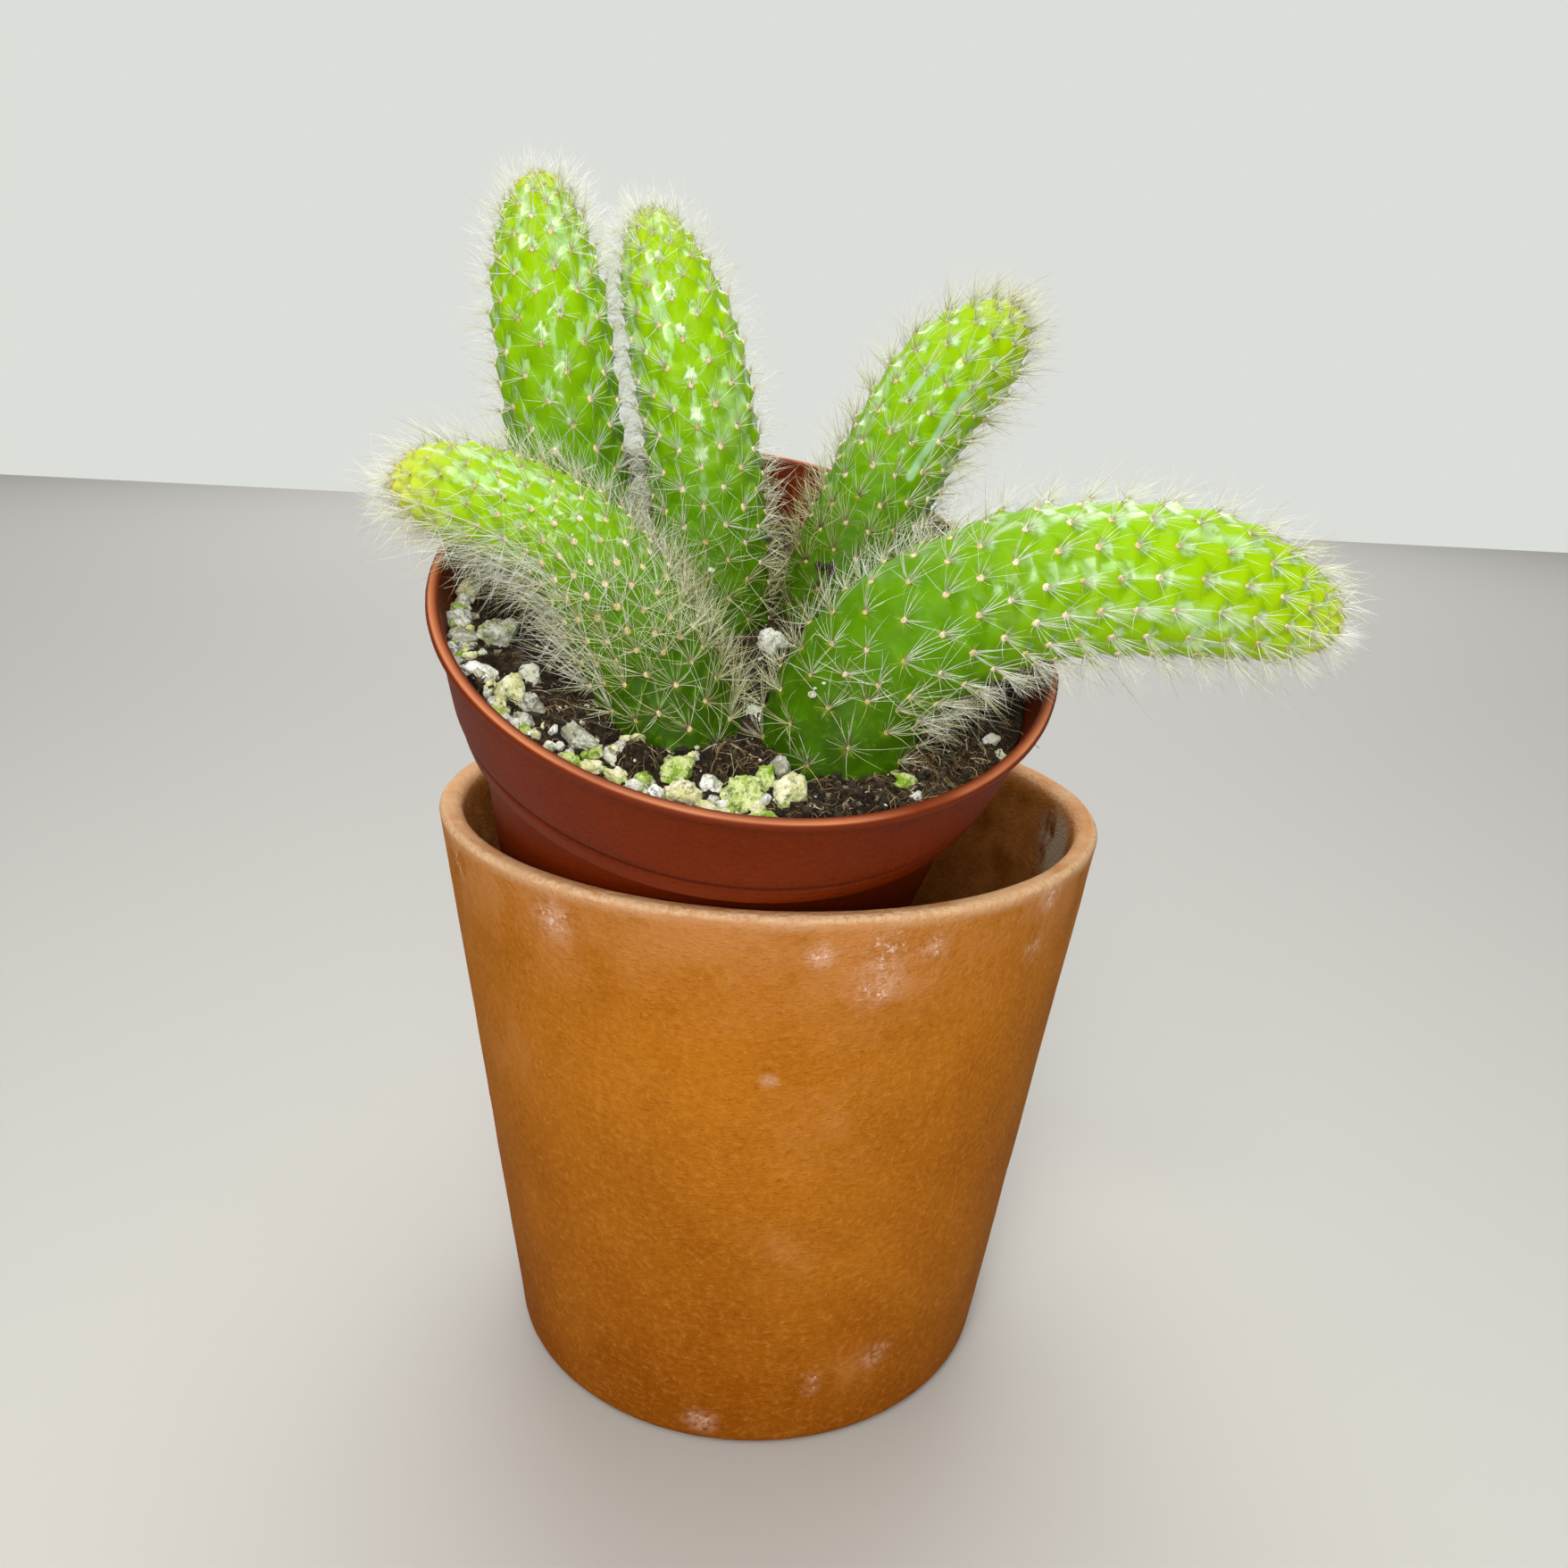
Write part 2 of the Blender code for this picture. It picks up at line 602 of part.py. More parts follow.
def stem_mesh(stem, name, swell=None):
    """The skin of a stem. With a swell it is a smooth, wider copy, to cut the stem's hole with.

    Rings of points stand round the centre line. A point lies on a knob or in the hollow beside it
    by turns, so each knob is a low four-sided peak and each quad is split across its hollows.
    """
    rings, root_end, tip_end = stem_rings(stem)
    widest = max(ring.radius for ring in rings)
    points = []
    for row, ring in enumerate(rings):
        for column in range(STEM_RIBS):
            lift = tubercle_lift(row, column, ring.radius, widest) if swell is None else swell
            points.append(ring_point(ring, column, lift)[0])
    faces = []
    for row in range(len(rings) - 1):
        for column in range(STEM_RIBS):
            a = row * STEM_RIBS + column
            b = row * STEM_RIBS + (column + 1) % STEM_RIBS
            c = b + STEM_RIBS
            d = a + STEM_RIBS
            faces += [(a, b, d), (b, c, d)] if (row + column) % 2 == 0 else [(a, b, c), (a, c, d)]
    last = (len(rings) - 1) * STEM_RIBS
    points += [root_end, tip_end]
    for column in range(STEM_RIBS):
        after = (column + 1) % STEM_RIBS
        faces.append((after, column, len(points) - 2))
        faces.append((last + column, last + after, len(points) - 1))
    mesh = bpy.data.meshes.new(name)
    mesh.from_pydata([tuple(point) for point in points], [], faces)
    return mesh


class SpineRoom:
    """Knows what stands in the pot, and says whether a new spine stays clear of it."""

    first_sample = 0.12
    samples = np.linspace(first_sample, 1, 8)[:, None]
    stone_share = 0.52
    stem_clearance = 0.8 * MM
    spine_clearance = 1.1 * MM
    soil_clearance = 0.8 * MM
    stone_clearance = 0.6 * MM

    def __init__(self):
        self.to_tilted = np.array(tilted_frame().inverted())
        self.bodies = {}
        for stem in STEMS:
            path = stem_path(stem)
            levels = ring_levels(stem, PATH_STEP * (len(path) - 1))
            places = [level[0] for level in levels]
            radii = np.interp(np.arange(len(path)) * PATH_STEP, places, [level[1] for level in levels])
            self.bodies[stem.name] = (path, radii + TUBERCLE_HEIGHT)
        self.spines = {stem.name: np.empty((0, 3)) for stem in STEMS}
        self.stones = np.array([stone_centre(stone) for stone in STONES])
        reaches = [self.stone_share * max(stone.size) * MM for stone in STONES]
        self.stone_reach = np.array(reaches)

    def fits(self, owner, root, tip):
        """Whether a spine of one stem, from its root to its tip, touches nothing."""
        points = np.array(root) + (np.array(tip) - np.array(root)) * self.samples
        for name, (path, radii) in self.bodies.items():
            if name == owner:
                continue
            away = np.linalg.norm(points[:, None] - path[None], axis=2)
            if (away < radii + self.stem_clearance).any():
                return False
            others = self.spines[name]
            if len(others):
                away = np.linalg.norm(points[:, None] - others[None], axis=2)
                if (away < self.spine_clearance).any():
                    return False
        return self.clear_of_pot(points)

    def clear_of_pot(self, points):
        """Whether the points stay clear of the soil, the stones and the nursery pot's wall."""
        tilted = points @ self.to_tilted[:3, :3].T + self.to_tilted[:3, 3]
        radius = np.hypot(tilted[:, 0], tilted[:, 1])
        height = tilted[:, 2]
        inner = np.array([pot_inner_radius(z) for z in height])
        if ((height < self.soil_clearance) & (radius > inner - self.soil_clearance)).any():
            return False
        ground = soil_height(tilted[:, 0], tilted[:, 1])
        if ((radius < inner) & (height < ground + self.soil_clearance)).any():
            return False
        away = np.linalg.norm(tilted[:, None] - self.stones[None], axis=2)
        return not (away < self.stone_reach + self.stone_clearance).any()

    def keep(self, owner, root, tip):
        """Adds a spine to those that the next ones must clear."""
        points = np.array(root) + (np.array(tip) - np.array(root)) * self.samples
        self.spines[owner] = np.vstack([self.spines[owner], points])


def spine_roots(stem):
    """The root, the outward direction and the direction to the tip of every areole of a stem.

    The root lies inside one of the four faces of its knob, so that its three edges cross one face.
    """
    rings = stem_rings(stem)[0]
    widest = max(ring.radius for ring in rings)
    roots = []
    for row in range(1, len(rings) - 1):
        for column in range(STEM_RIBS):
            if (row + column) % 2:
                continue
            thin = rings[row].radius < THIN_RING * widest
            if thin and column % THIN_RING_STRIDE != row % THIN_RING_STRIDE:
                continue
            foot = Vector()
            for share, (step_row, step_column) in zip(SPINE_FOOT_SHARES, ((0, 0), (1, 0), (0, 1))):
                ring = rings[row + step_row]
                lift = tubercle_lift(row + step_row, column + step_column, ring.radius, widest)
                foot += ring_point(ring, column + step_column, lift)[0] * share
            roots.append((foot, ring_point(rings[row], column, 0)[1], rings[row].tangent))
    return roots


def spine_mesh(name, root, direction, length):
    """A slim three-sided needle whose foot is sunk in the skin."""
    needle = bmesh.new()
    span = length + SPINE_SINK
    turn = direction.to_track_quat("Z", "Y").to_matrix().to_4x4()
    place = Matrix.Translation(root + direction * (span / 2 - SPINE_SINK))
    bmesh.ops.create_cone(needle, cap_ends=True, segments=3, radius1=SPINE_RADIUS, radius2=0,
                          depth=span, matrix=place @ turn)
    mesh = bpy.data.meshes.new(name)
    needle.to_mesh(mesh)
    needle.free()
    return mesh


def grow_spines(stem, room, chance, spines):
    """One spine at each areole, leaning at random but mostly towards the stem's tip."""
    for number, (root, normal, tangent) in enumerate(spine_roots(stem)):
        ahead = tangent - tangent.dot(normal) * normal
        if ahead.length < SPINE_LEVEL_AHEAD:
            ahead = normal.orthogonal()
        ahead.normalize()
        beside = normal.cross(ahead)
        for attempt in range(SPINE_TRIES):
            tilt = chance.uniform(*SPINE_TILTS)
            bearing = math.radians(chance.gauss(0, SPINE_BEARING_SPREAD))
            length = chance.uniform(*SPINE_LENGTHS) * (1 - SPINE_SHORTENING * attempt)
            lean = ahead * math.cos(bearing) + beside * math.sin(bearing)
            direction = normal * math.cos(tilt) + lean * math.sin(tilt)
            tip = root + direction * length
            if room.fits(stem.name, root, tip):
                room.keep(stem.name, root, tip)
                name = f"spine_{number}"
                add_object(name, spine_mesh(name, root, direction, length), spines)
                break


def stems(collection, scene_root):
    """The five stems, each joined with its own spines."""
    room = SpineRoom()
    chance = random.Random(SPINE_SEED)
    for stem in STEMS:
        body = add_object(stem.name, stem_mesh(stem, stem.name), collection, SKIN)
        spines = start_collection("spines_of_" + stem.name, scene_root)
        grow_spines(stem, room, chance, spines)
        boolean(body, spines, "UNION")
        apply_modifiers(body)
        for spine in list(spines.objects):
            bpy.data.objects.remove(spine)
        bpy.data.collections.remove(spines)


def main():
    """Clears the scene and builds the plant with its two pots."""
    for item in list(bpy.data.objects):
        bpy.data.objects.remove(item)
    scene_root = bpy.context.scene.collection
    parts = start_collection("potted_monkey_tail_cactus", scene_root)
    cutters = start_collection("cutters", scene_root)
    seat = bpy.data.objects.new("tilted_seat", None)
    parts.objects.link(seat)
    seat.matrix_world = tilted_frame()
    clay_pot(parts)
    nursery_pot(parts, cutters, seat)
    soil(parts, cutters, seat)
    stones(parts, cutters, seat)
    stems(parts, scene_root)


main()
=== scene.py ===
"""Looks of a monkey tail cactus in a nursery pot that stands tilted in a clay pot.

Lengths are in metres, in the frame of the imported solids: the origin is the centre of the clay
pot's base and +Z is up. Each class builds the visible pieces of one sub-assembly on the same sizes
as the solids, and the pieces take the solids' places. The nursery pot, its soil and its stones are
worked out in the pot's own frame, whose origin is the centre of the rim, and are then tilted with
it.
"""

import itertools
import logging
import math
from dataclasses import dataclass, field, replace
from enum import Enum

import bpy
import numpy as np
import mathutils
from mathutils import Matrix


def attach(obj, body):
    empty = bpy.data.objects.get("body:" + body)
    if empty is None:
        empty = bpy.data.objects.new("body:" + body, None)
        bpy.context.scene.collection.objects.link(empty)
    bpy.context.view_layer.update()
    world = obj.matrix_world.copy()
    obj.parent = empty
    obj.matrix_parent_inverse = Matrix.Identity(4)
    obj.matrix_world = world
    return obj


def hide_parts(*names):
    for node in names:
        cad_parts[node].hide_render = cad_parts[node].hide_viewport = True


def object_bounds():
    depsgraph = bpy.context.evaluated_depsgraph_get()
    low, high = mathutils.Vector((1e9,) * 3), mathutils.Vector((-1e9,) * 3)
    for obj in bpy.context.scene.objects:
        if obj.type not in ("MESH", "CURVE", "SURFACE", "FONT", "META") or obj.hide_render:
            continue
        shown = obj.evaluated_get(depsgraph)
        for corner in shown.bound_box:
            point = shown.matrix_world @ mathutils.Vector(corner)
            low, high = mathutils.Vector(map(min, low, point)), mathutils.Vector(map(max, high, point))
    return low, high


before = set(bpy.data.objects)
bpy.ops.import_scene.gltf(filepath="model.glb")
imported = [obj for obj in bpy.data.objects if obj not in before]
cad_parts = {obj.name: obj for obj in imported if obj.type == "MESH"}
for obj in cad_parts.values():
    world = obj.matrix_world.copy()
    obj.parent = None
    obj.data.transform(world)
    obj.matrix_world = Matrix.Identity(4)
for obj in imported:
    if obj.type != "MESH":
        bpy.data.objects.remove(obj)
CAD_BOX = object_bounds()

Array = np.ndarray
Colour = tuple[float, float, float, float]
Material = bpy.types.Material
Vector = tuple[float, float, float]
Stops = tuple[tuple[float, Colour], ...]
Patch = tuple[Vector, float]
Crowd = tuple[int, tuple[float, float], float]
Noise = tuple[float, float, int, int]

LOG = logging.getLogger("potted_cactus")
MM = 0.001
BODY = "root"
FULL_TURN = 2 * math.pi
HASH_FACTORS = np.array([374761393, 668265263, 2147483629])
HASH_SEED = 1442695041
HASH_MIX = 1274126177
HASH_LIMIT = 0xFFFFFFFF
HAIR_SIDES = 3
LEAST_COSINE = 0.08
CORNER_SHARPNESS = 9


# Arrays


def unit(vectors: Array) -> Array:
    """Vectors divided by their lengths."""
    return vectors / np.linalg.norm(vectors, axis=-1, keepdims=True)


def ease(low: float, high: float, values: Array) -> Array:
    """An S curve from 0 at low to 1 at high.

    With t the share of the way, cut off at 0 and 1, the result is 3 t squared less 2 t cubed.

    Args:
        low: The value that gives 0.
        high: The value that gives 1.
        values: The values to ease.

    Returns:
        An array like values.
    """
    share = np.clip((values - low) / (high - low), 0, 1)
    return share * share * (3 - 2 * share)


def lattice_noise(points: Array, pitch: float, seed: int) -> Array:
    """Smooth noise from -1 to 1.

    Each corner of a cubic lattice holds a number hashed from its whole-number place, and a point
    takes the eased mean of the eight corners round it.

    Args:
        points: Points of shape (..., 3).
        pitch: Side of a lattice cell, in the unit of the points.
        seed: Picks one of many noises.

    Returns:
        One value a point.
    """
    scaled = points / pitch
    cell = np.floor(scaled).astype(np.int64)
    share = ease(0, 1, scaled - cell)
    total = np.zeros(points.shape[:-1])
    for corner in itertools.product((0, 1), repeat=3):
        key = ((cell + np.array(corner)) * HASH_FACTORS).sum(axis=-1)
        key = (key + seed * HASH_SEED) & HASH_LIMIT
        key = ((key ^ (key >> 13)) * HASH_MIX) & HASH_LIMIT
        key = key ^ (key >> 16)
        weight = np.prod(np.where(corner, share, 1 - share), axis=-1)
        total += weight * (key / (HASH_LIMIT // 2) - 1)
    return total


def layered_noise(points: Array, pitch: float, seed: int, layers: int = 3) -> Array:
    """Sum of lattice noises, each of half the pitch and half the height of the one before."""
    return sum(lattice_noise(points, pitch / 2 ** i, seed + i) / 2 ** i for i in range(layers))


def uneven(points: Array, *noises: Noise) -> Array:
    """Sum of layered noises, each given by its height, pitch, seed and number of layers."""
    return sum(height * layered_noise(points, pitch, seed, layers)
               for height, pitch, seed, layers in noises)


def planed(facing: Array, reach: Array, most: float) -> Array:
    """Radii of a lump that is bounded by planes and has rounded corners.

    A direction meets a plane at the plane's reach over the cosine between them. The soft least of
    these is minus the logarithm of the sum of exp(-k x), over k, with k the corners' sharpness.

    Args:
        facing: Cosines between the directions and the planes, with the planes last.
        reach: Distance of each plane from the centre.
        most: Greatest radius.

    Returns:
        One radius a direction.
    """
    limit = reach / np.maximum(facing, LEAST_COSINE)
    soft = -np.log(np.exp(-CORNER_SHARPNESS * limit).sum(axis=-1)) / CORNER_SHARPNESS
    return np.minimum(soft, most)


# Meshes


def copies(points: Array, faces: Array) -> tuple[Array, Array]:
    """Many forms with the same faces, as one mesh.

    The face numbers of a form are shifted by the number of points before it.

    Args:
        points: Points of shape (forms, points of a form, 3).
        faces: Faces of one form.

    Returns:
        The points of all forms one after another, and all their faces.
    """
    shift = (np.arange(len(points)) * points.shape[1])[:, None, None]
    return points.reshape(-1, 3), (faces[None] + shift).reshape(-1, faces.shape[1])


def tube_faces(rows: int, columns: int) -> tuple[Array, Array]:
    """Faces of a tube of point rings that is closed at both ends.

    The rings come row by row. A hair's tube starts with one triangle. Any other starts with a fan
    round a pole that follows the rings. All tubes end in a fan round the last point.

    Args:
        rows: Number of rings.
        columns: Points of a ring.

    Returns:
        The quads and the triangles, as point numbers.
    """
    here = np.arange(columns)
    after = (here + 1) % columns
    foot = np.arange(rows - 1)[:, None] * columns
    quads = np.stack([foot + here, foot + after, foot + after + columns, foot + here + columns],
                     axis=-1)
    last = (rows - 1) * columns
    end = rows * columns
    if columns == HAIR_SIDES:
        start_fan = np.array([[2, 1, 0]])
    else:
        start_fan = np.stack([after, here, np.full(columns, end)], axis=-1)
        end += 1
    end_fan = np.stack([last + here, last + after, np.full(columns, end)], axis=-1)
    return quads.reshape(-1, 4), np.vstack([start_fan, end_fan])


def tubes(rings: Array, starts: Array, ends: Array) -> tuple[Array, Array, Array]:
    """Many closed tubes of one kind.

    Args:
        rings: Points of shape (tubes, rows, columns, 3).
        starts: Pole at the first ring of each tube, which hairs leave out.
        ends: Pole at the last ring of each tube.

    Returns:
        Points, quads and triangles.
    """
    count, rows, columns = rings.shape[:3]
    quads, triangles = tube_faces(rows, columns)
    layers = [rings.reshape(count, -1, 3)]
    if columns != HAIR_SIDES:
        layers.append(starts[:, None])
    layers.append(ends[:, None])
    points = np.concatenate(layers, axis=1)
    return *copies(points, quads), copies(points, triangles)[1]


def hair_tubes(lines: Array, radii: Array) -> tuple[Array, Array, Array]:
    """Three-sided tubes along lines, drawn out to a point at the last place of each line.

    A ring's points lie at its radius from the line, a third of a turn apart, in the plane across
    it. The plane's first axis is level, or at right angles to X on a hair that starts steeply.

    Args:
        lines: Points of shape (hairs, rows, 3).
        radii: Radius of each ring of a hair, of shape (rows - 1,) or (hairs, rows - 1).

    Returns:
        Points, quads and triangles.
    """
    along = unit(np.gradient(lines, axis=1))[:, :-1]
    steep = np.abs(along[..., :1, 2:]) >= 0.8
    helper = np.where(steep, np.array([1.0, 0, 0]), np.array([0, 0, 1.0]))
    side = unit(np.cross(np.broadcast_to(helper, along.shape), along))
    across = np.cross(along, side)
    turn = np.arange(HAIR_SIDES) * FULL_TURN / HAIR_SIDES
    spread = side[:, :, None] * np.cos(turn)[:, None] + across[:, :, None] * np.sin(turn)[:, None]
    size = np.broadcast_to(radii, lines.shape[:1] + (lines.shape[1] - 1,))[:, :, None, None]
    return tubes(lines[:, :-1, None] + spread * size, lines[:, 0], lines[:, -1])


def ball(cells: int) -> tuple[Array, Array]:
    """Directions and faces of a ball.

    Each side of a cube is a square grid, evenly spaced in angle, and all points are pushed to
    distance 1. The points that the sides share are merged.

    Args:
        cells: Cells along a side of the cube.

    Returns:
        Unit vectors and quads.
    """
    line = np.tan(np.linspace(-1, 1, cells + 1) * math.pi / 4)
    first, second = np.meshgrid(line, line, indexing="ij")
    corner = (np.arange(cells)[:, None] * (cells + 1) + np.arange(cells)).ravel()
    quads = np.stack([corner, corner + cells + 1, corner + cells + 2, corner + 1], axis=-1)
    sides, faces = [], []
    for axis, sign in itertools.product(range(3), (-1, 1)):
        side = np.empty(first.shape + (3,))
        side[..., axis] = sign
        side[..., (axis + 1) % 3] = first
        side[..., (axis + 2) % 3] = second
        shift = len(sides) * first.size
        sides.append(side.reshape(-1, 3))
        faces.append((quads if sign > 0 else quads[:, ::-1]) + shift)
    directions = unit(np.vstack(sides))
    kept, number = np.unique(np.round(directions, 6), axis=0, return_inverse=True)
    return unit(kept), number.ravel()[np.vstack(faces)]


def put(name: str, data: bpy.types.ID) -> bpy.types.Object:
    """Makes an object of some data and puts it in the scene.

    Args:
        name: The object's name.
        data: Its mesh, light or camera.

    Returns:
        The new object.
    """
    item = bpy.data.objects.new(name, data)
    bpy.context.scene.collection.objects.link(item)
    return item


@dataclass
class Piece:
    """One visible mesh, gathered part by part and then made an object of the scene."""

    name: str
    slot: str
    points: list[Array] = field(default_factory=list)
    quads: list[Array] = field(default_factory=list)
    triangles: list[Array] = field(default_factory=list)
    values: dict[str, list[Array]] = field(default_factory=dict)
    count: int = 0

    def add(self, points: Array, quads: Array | None = None, triangles: Array | None = None,
            **values: Array) -> None:
        """Adds points, with faces that are numbered from the first of them.

        Args:
            points: Points of shape (n, 3).
            quads: Faces of four points.
            triangles: Faces of three points.
            **values: One number a point for each attribute, or one number for all of them.
        """
        if quads is not None:
            self.quads.append(quads + self.count)
        if triangles is not None:
            self.triangles.append(triangles + self.count)
        self.points.append(points)
        self.count += len(points)
        for name, numbers in values.items():
            self.values.setdefault(name, []).append(np.broadcast_to(numbers, len(points)))

    def build(self, material: Material, *nodes: str, smooth: bool = True) -> bpy.types.Object:
        """Makes the object, which rides on the body and may stand for solids.

        Args:
            material: The finish.
            *nodes: The solids that the piece stands for.
            smooth: Whether the shading is smooth over the edges.

        Returns:
            The new object.
        """
        points = np.concatenate(self.points)
        groups = [np.concatenate(faces) for faces in (self.quads, self.triangles) if faces]
        corners = np.concatenate([faces.ravel() for faces in groups])
        sizes = np.concatenate([np.full(len(faces), faces.shape[1]) for faces in groups])
        mesh = bpy.data.meshes.new(self.name)
        mesh.vertices.add(len(points))
        mesh.vertices.foreach_set("co", points.astype(np.float32).ravel())
        mesh.loops.add(len(corners))
        mesh.polygons.add(len(sizes))
        mesh.polygons.foreach_set("loop_start", (np.cumsum(sizes) - sizes).astype(np.int32))
        mesh.polygons.foreach_set("vertices", corners.astype(np.int32))
        mesh.polygons.foreach_set("use_smooth", np.full(len(sizes), smooth))
        for name, numbers in self.values.items():
            attribute = mesh.attributes.new(name, "FLOAT", "POINT")
            attribute.data.foreach_set("value", np.concatenate(numbers).astype(np.float32))
        mesh.update(calc_edges=True)
        mesh.materials.append(material)
        item = put(self.name, mesh)
        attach(item, BODY)
        if nodes:
            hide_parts(*nodes)
        LOG.info("%s: %d triangles", self.name, int((sizes - 2).sum()))
        return item


# Shaders


def paint(red: int, green: int, blue: int) -> Colour:
    """A colour given as it shows on a screen, 0 to 255 a channel, turned to linear light."""
    shares = (channel / 255 for channel in (red, green, blue))
    return (*((share / 12.92) if share < 0.04045 else ((share + 0.055) / 1.055) ** 2.4
              for share in shares), 1.0)


@dataclass(frozen=True)
class Signal:
    """A socket that carries a number. Python's operators add Math nodes to its tree."""

    shader: "Shader"
    socket: bpy.types.NodeSocket

    def _math(self, operation: str, first: object, second: object = 0.0) -> "Signal":
        """A Math node on two values or signals."""
        return self.shader.add("ShaderNodeMath", {"operation": operation}, {0: first, 1: second})

    def __add__(self, other: object) -> "Signal":
        """This plus other."""
        return self._math("ADD", self, other)

    __radd__ = __add__

    def __sub__(self, other: object) -> "Signal":
        """This less other."""
        return self._math("SUBTRACT", self, other)

    def __rsub__(self, other: object) -> "Signal":
        """Other less this."""
        return self._math("SUBTRACT", other, self)

    def __mul__(self, other: object) -> "Signal":
        """This times other."""
        return self._math("MULTIPLY", self, other)

    __rmul__ = __mul__

    def step(self, low: float, high: float) -> "Signal":
        """An S curve from 0 at low to 1 at high."""
        return self.shader.add("ShaderNodeMapRange", {"interpolation_type": "SMOOTHSTEP"},
                               {0: self, 1: low, 2: high, 3: 0.0, 4: 1.0})


class Shader:
    """One material's node tree."""

    def __init__(self, name: str) -> None:
        """Starts a material with its surface node.

        Args:
            name: The material's name.
        """
        self.material = bpy.data.materials.new(name)
        self.material.use_nodes = True
        self.tree = self.material.node_tree
        self.surface = self.tree.nodes["Principled BSDF"]

    def _plug(self, socket: bpy.types.NodeSocket, value: object) -> None:
        """Links a signal to a socket, or sets the socket's own value.

        Args:
            socket: The input that is fed.
            value: A signal, number, vector or colour.
        """
        if isinstance(value, Signal):
            self.tree.links.new(value.socket, socket)
        else:
            socket.default_value = value

    def add(self, kind: str, settings: dict, inputs: dict, output: int | str = 0) -> Signal:
        """Adds a node.

        Args:
            kind: The node's type.
            settings: Its own properties, set first. "stops" are a ramp's places and colours.
            inputs: Values or signals by socket name or number.
            output: The output that the result carries.

        Returns:
            The signal of that output.
        """
        node = self.tree.nodes.new(kind)
        for key, value in settings.items():
            if key == "stops":
                elements = node.color_ramp.elements
                elements.remove(elements[1])
                elements[0].position, elements[0].color = value[0]
                for place, colour in value[1:]:
                    elements.new(place).color = colour
            else:
                setattr(node, key, value)
        for key, value in inputs.items():
            self._plug(node.inputs[key], value)
        return Signal(self, node.outputs[output])

    def spot(self, scale: Vector = (1.0, 1.0, 1.0)) -> Signal:
        """The place on the object, in metres, stretched by a factor along each axis."""
        place = self.add("ShaderNodeTexCoord", {}, {}, "Object")
        return self.add("ShaderNodeMapping", {}, {"Vector": place, "Scale": scale})

    def value(self, name: str) -> Signal:
        """A number that the mesh carries at its points."""
        return self.add("ShaderNodeAttribute", {"attribute_name": name}, {}, "Fac")

    def noise(self, where: Signal, size: float, detail: float, **inputs: float) -> Signal:
        """Noise from 0 to 1 whose blotches are about a size in millimetres across."""
        sockets = {"Vector": where, "Scale": 1 / (size * MM), "Detail": detail, **inputs}
        return self.add("ShaderNodeTexNoise", {}, sockets)

    def vector(self, operation: str, first: object, second: object,
               output: int | str = 0) -> Signal:
        """A Vector Math node on two values or signals."""
        return self.add("ShaderNodeVectorMath", {"operation": operation}, {0: first, 1: second},
                        output)

    def near(self, where: Signal, *patches: Patch) -> Signal:
        """Soft round patches, added up. Each is 1 at its centre and eases to 0 at its reach.

        Args:
            where: The place on the object.
            *patches: Centre and reach of each patch, in millimetres.

        Returns:
            The sum of the patches.
        """
        total = 0.0
        for centre, reach in patches:
            middle = tuple(part * MM for part in centre)
            away = self.vector("DISTANCE", where, middle, "Value")
            total = total + (1 - away.step(0.0, reach * MM))
        return total

    def ramp(self, factor: Signal, *stops: tuple[float, Colour]) -> Signal:
        """A colour that runs through stops."""
        return self.add("ShaderNodeValToRGB", {"stops": stops}, {"Fac": factor})

    def layer(self, colour: Signal, *coats: tuple[object, object]) -> Signal:
        """Coats of colour laid over a colour, each as far as its own mask lets it show.

        Args:
            colour: The colour below all coats.
            *coats: Mask and colour of each coat, from the lowest up.

        Returns:
            The mixed colour.
        """
        for mask, coat in coats:
            colour = self.add("ShaderNodeMix", {"data_type": "RGBA"},
                              {"Factor": mask, 6: colour, 7: coat}, 2)
        return colour

    def bump(self, height: Signal, depth: float, below: Signal | None = None) -> Signal:
        """A relief, on its own or on top of another.

        Args:
            height: Height from 0 to 1.
            depth: Depth in metres.
            below: The relief that it lies on.

        Returns:
            The bent normal.
        """
        inputs = {"Height": height, "Distance": depth, "Strength": 1.0}
        if below is not None:
            inputs["Normal"] = below
        return self.add("ShaderNodeBump", {}, inputs)

    def dress(self, **sockets: object) -> Material:
        """Sets sockets of the surface node.

        Args:
            **sockets: Values or signals by socket name, with _ for a space.

        Returns:
            The finished material.
        """
        for name, value in sockets.items():
            self._plug(self.surface.inputs[name.replace("_", " ")], value)
        return self.material


# Finishes


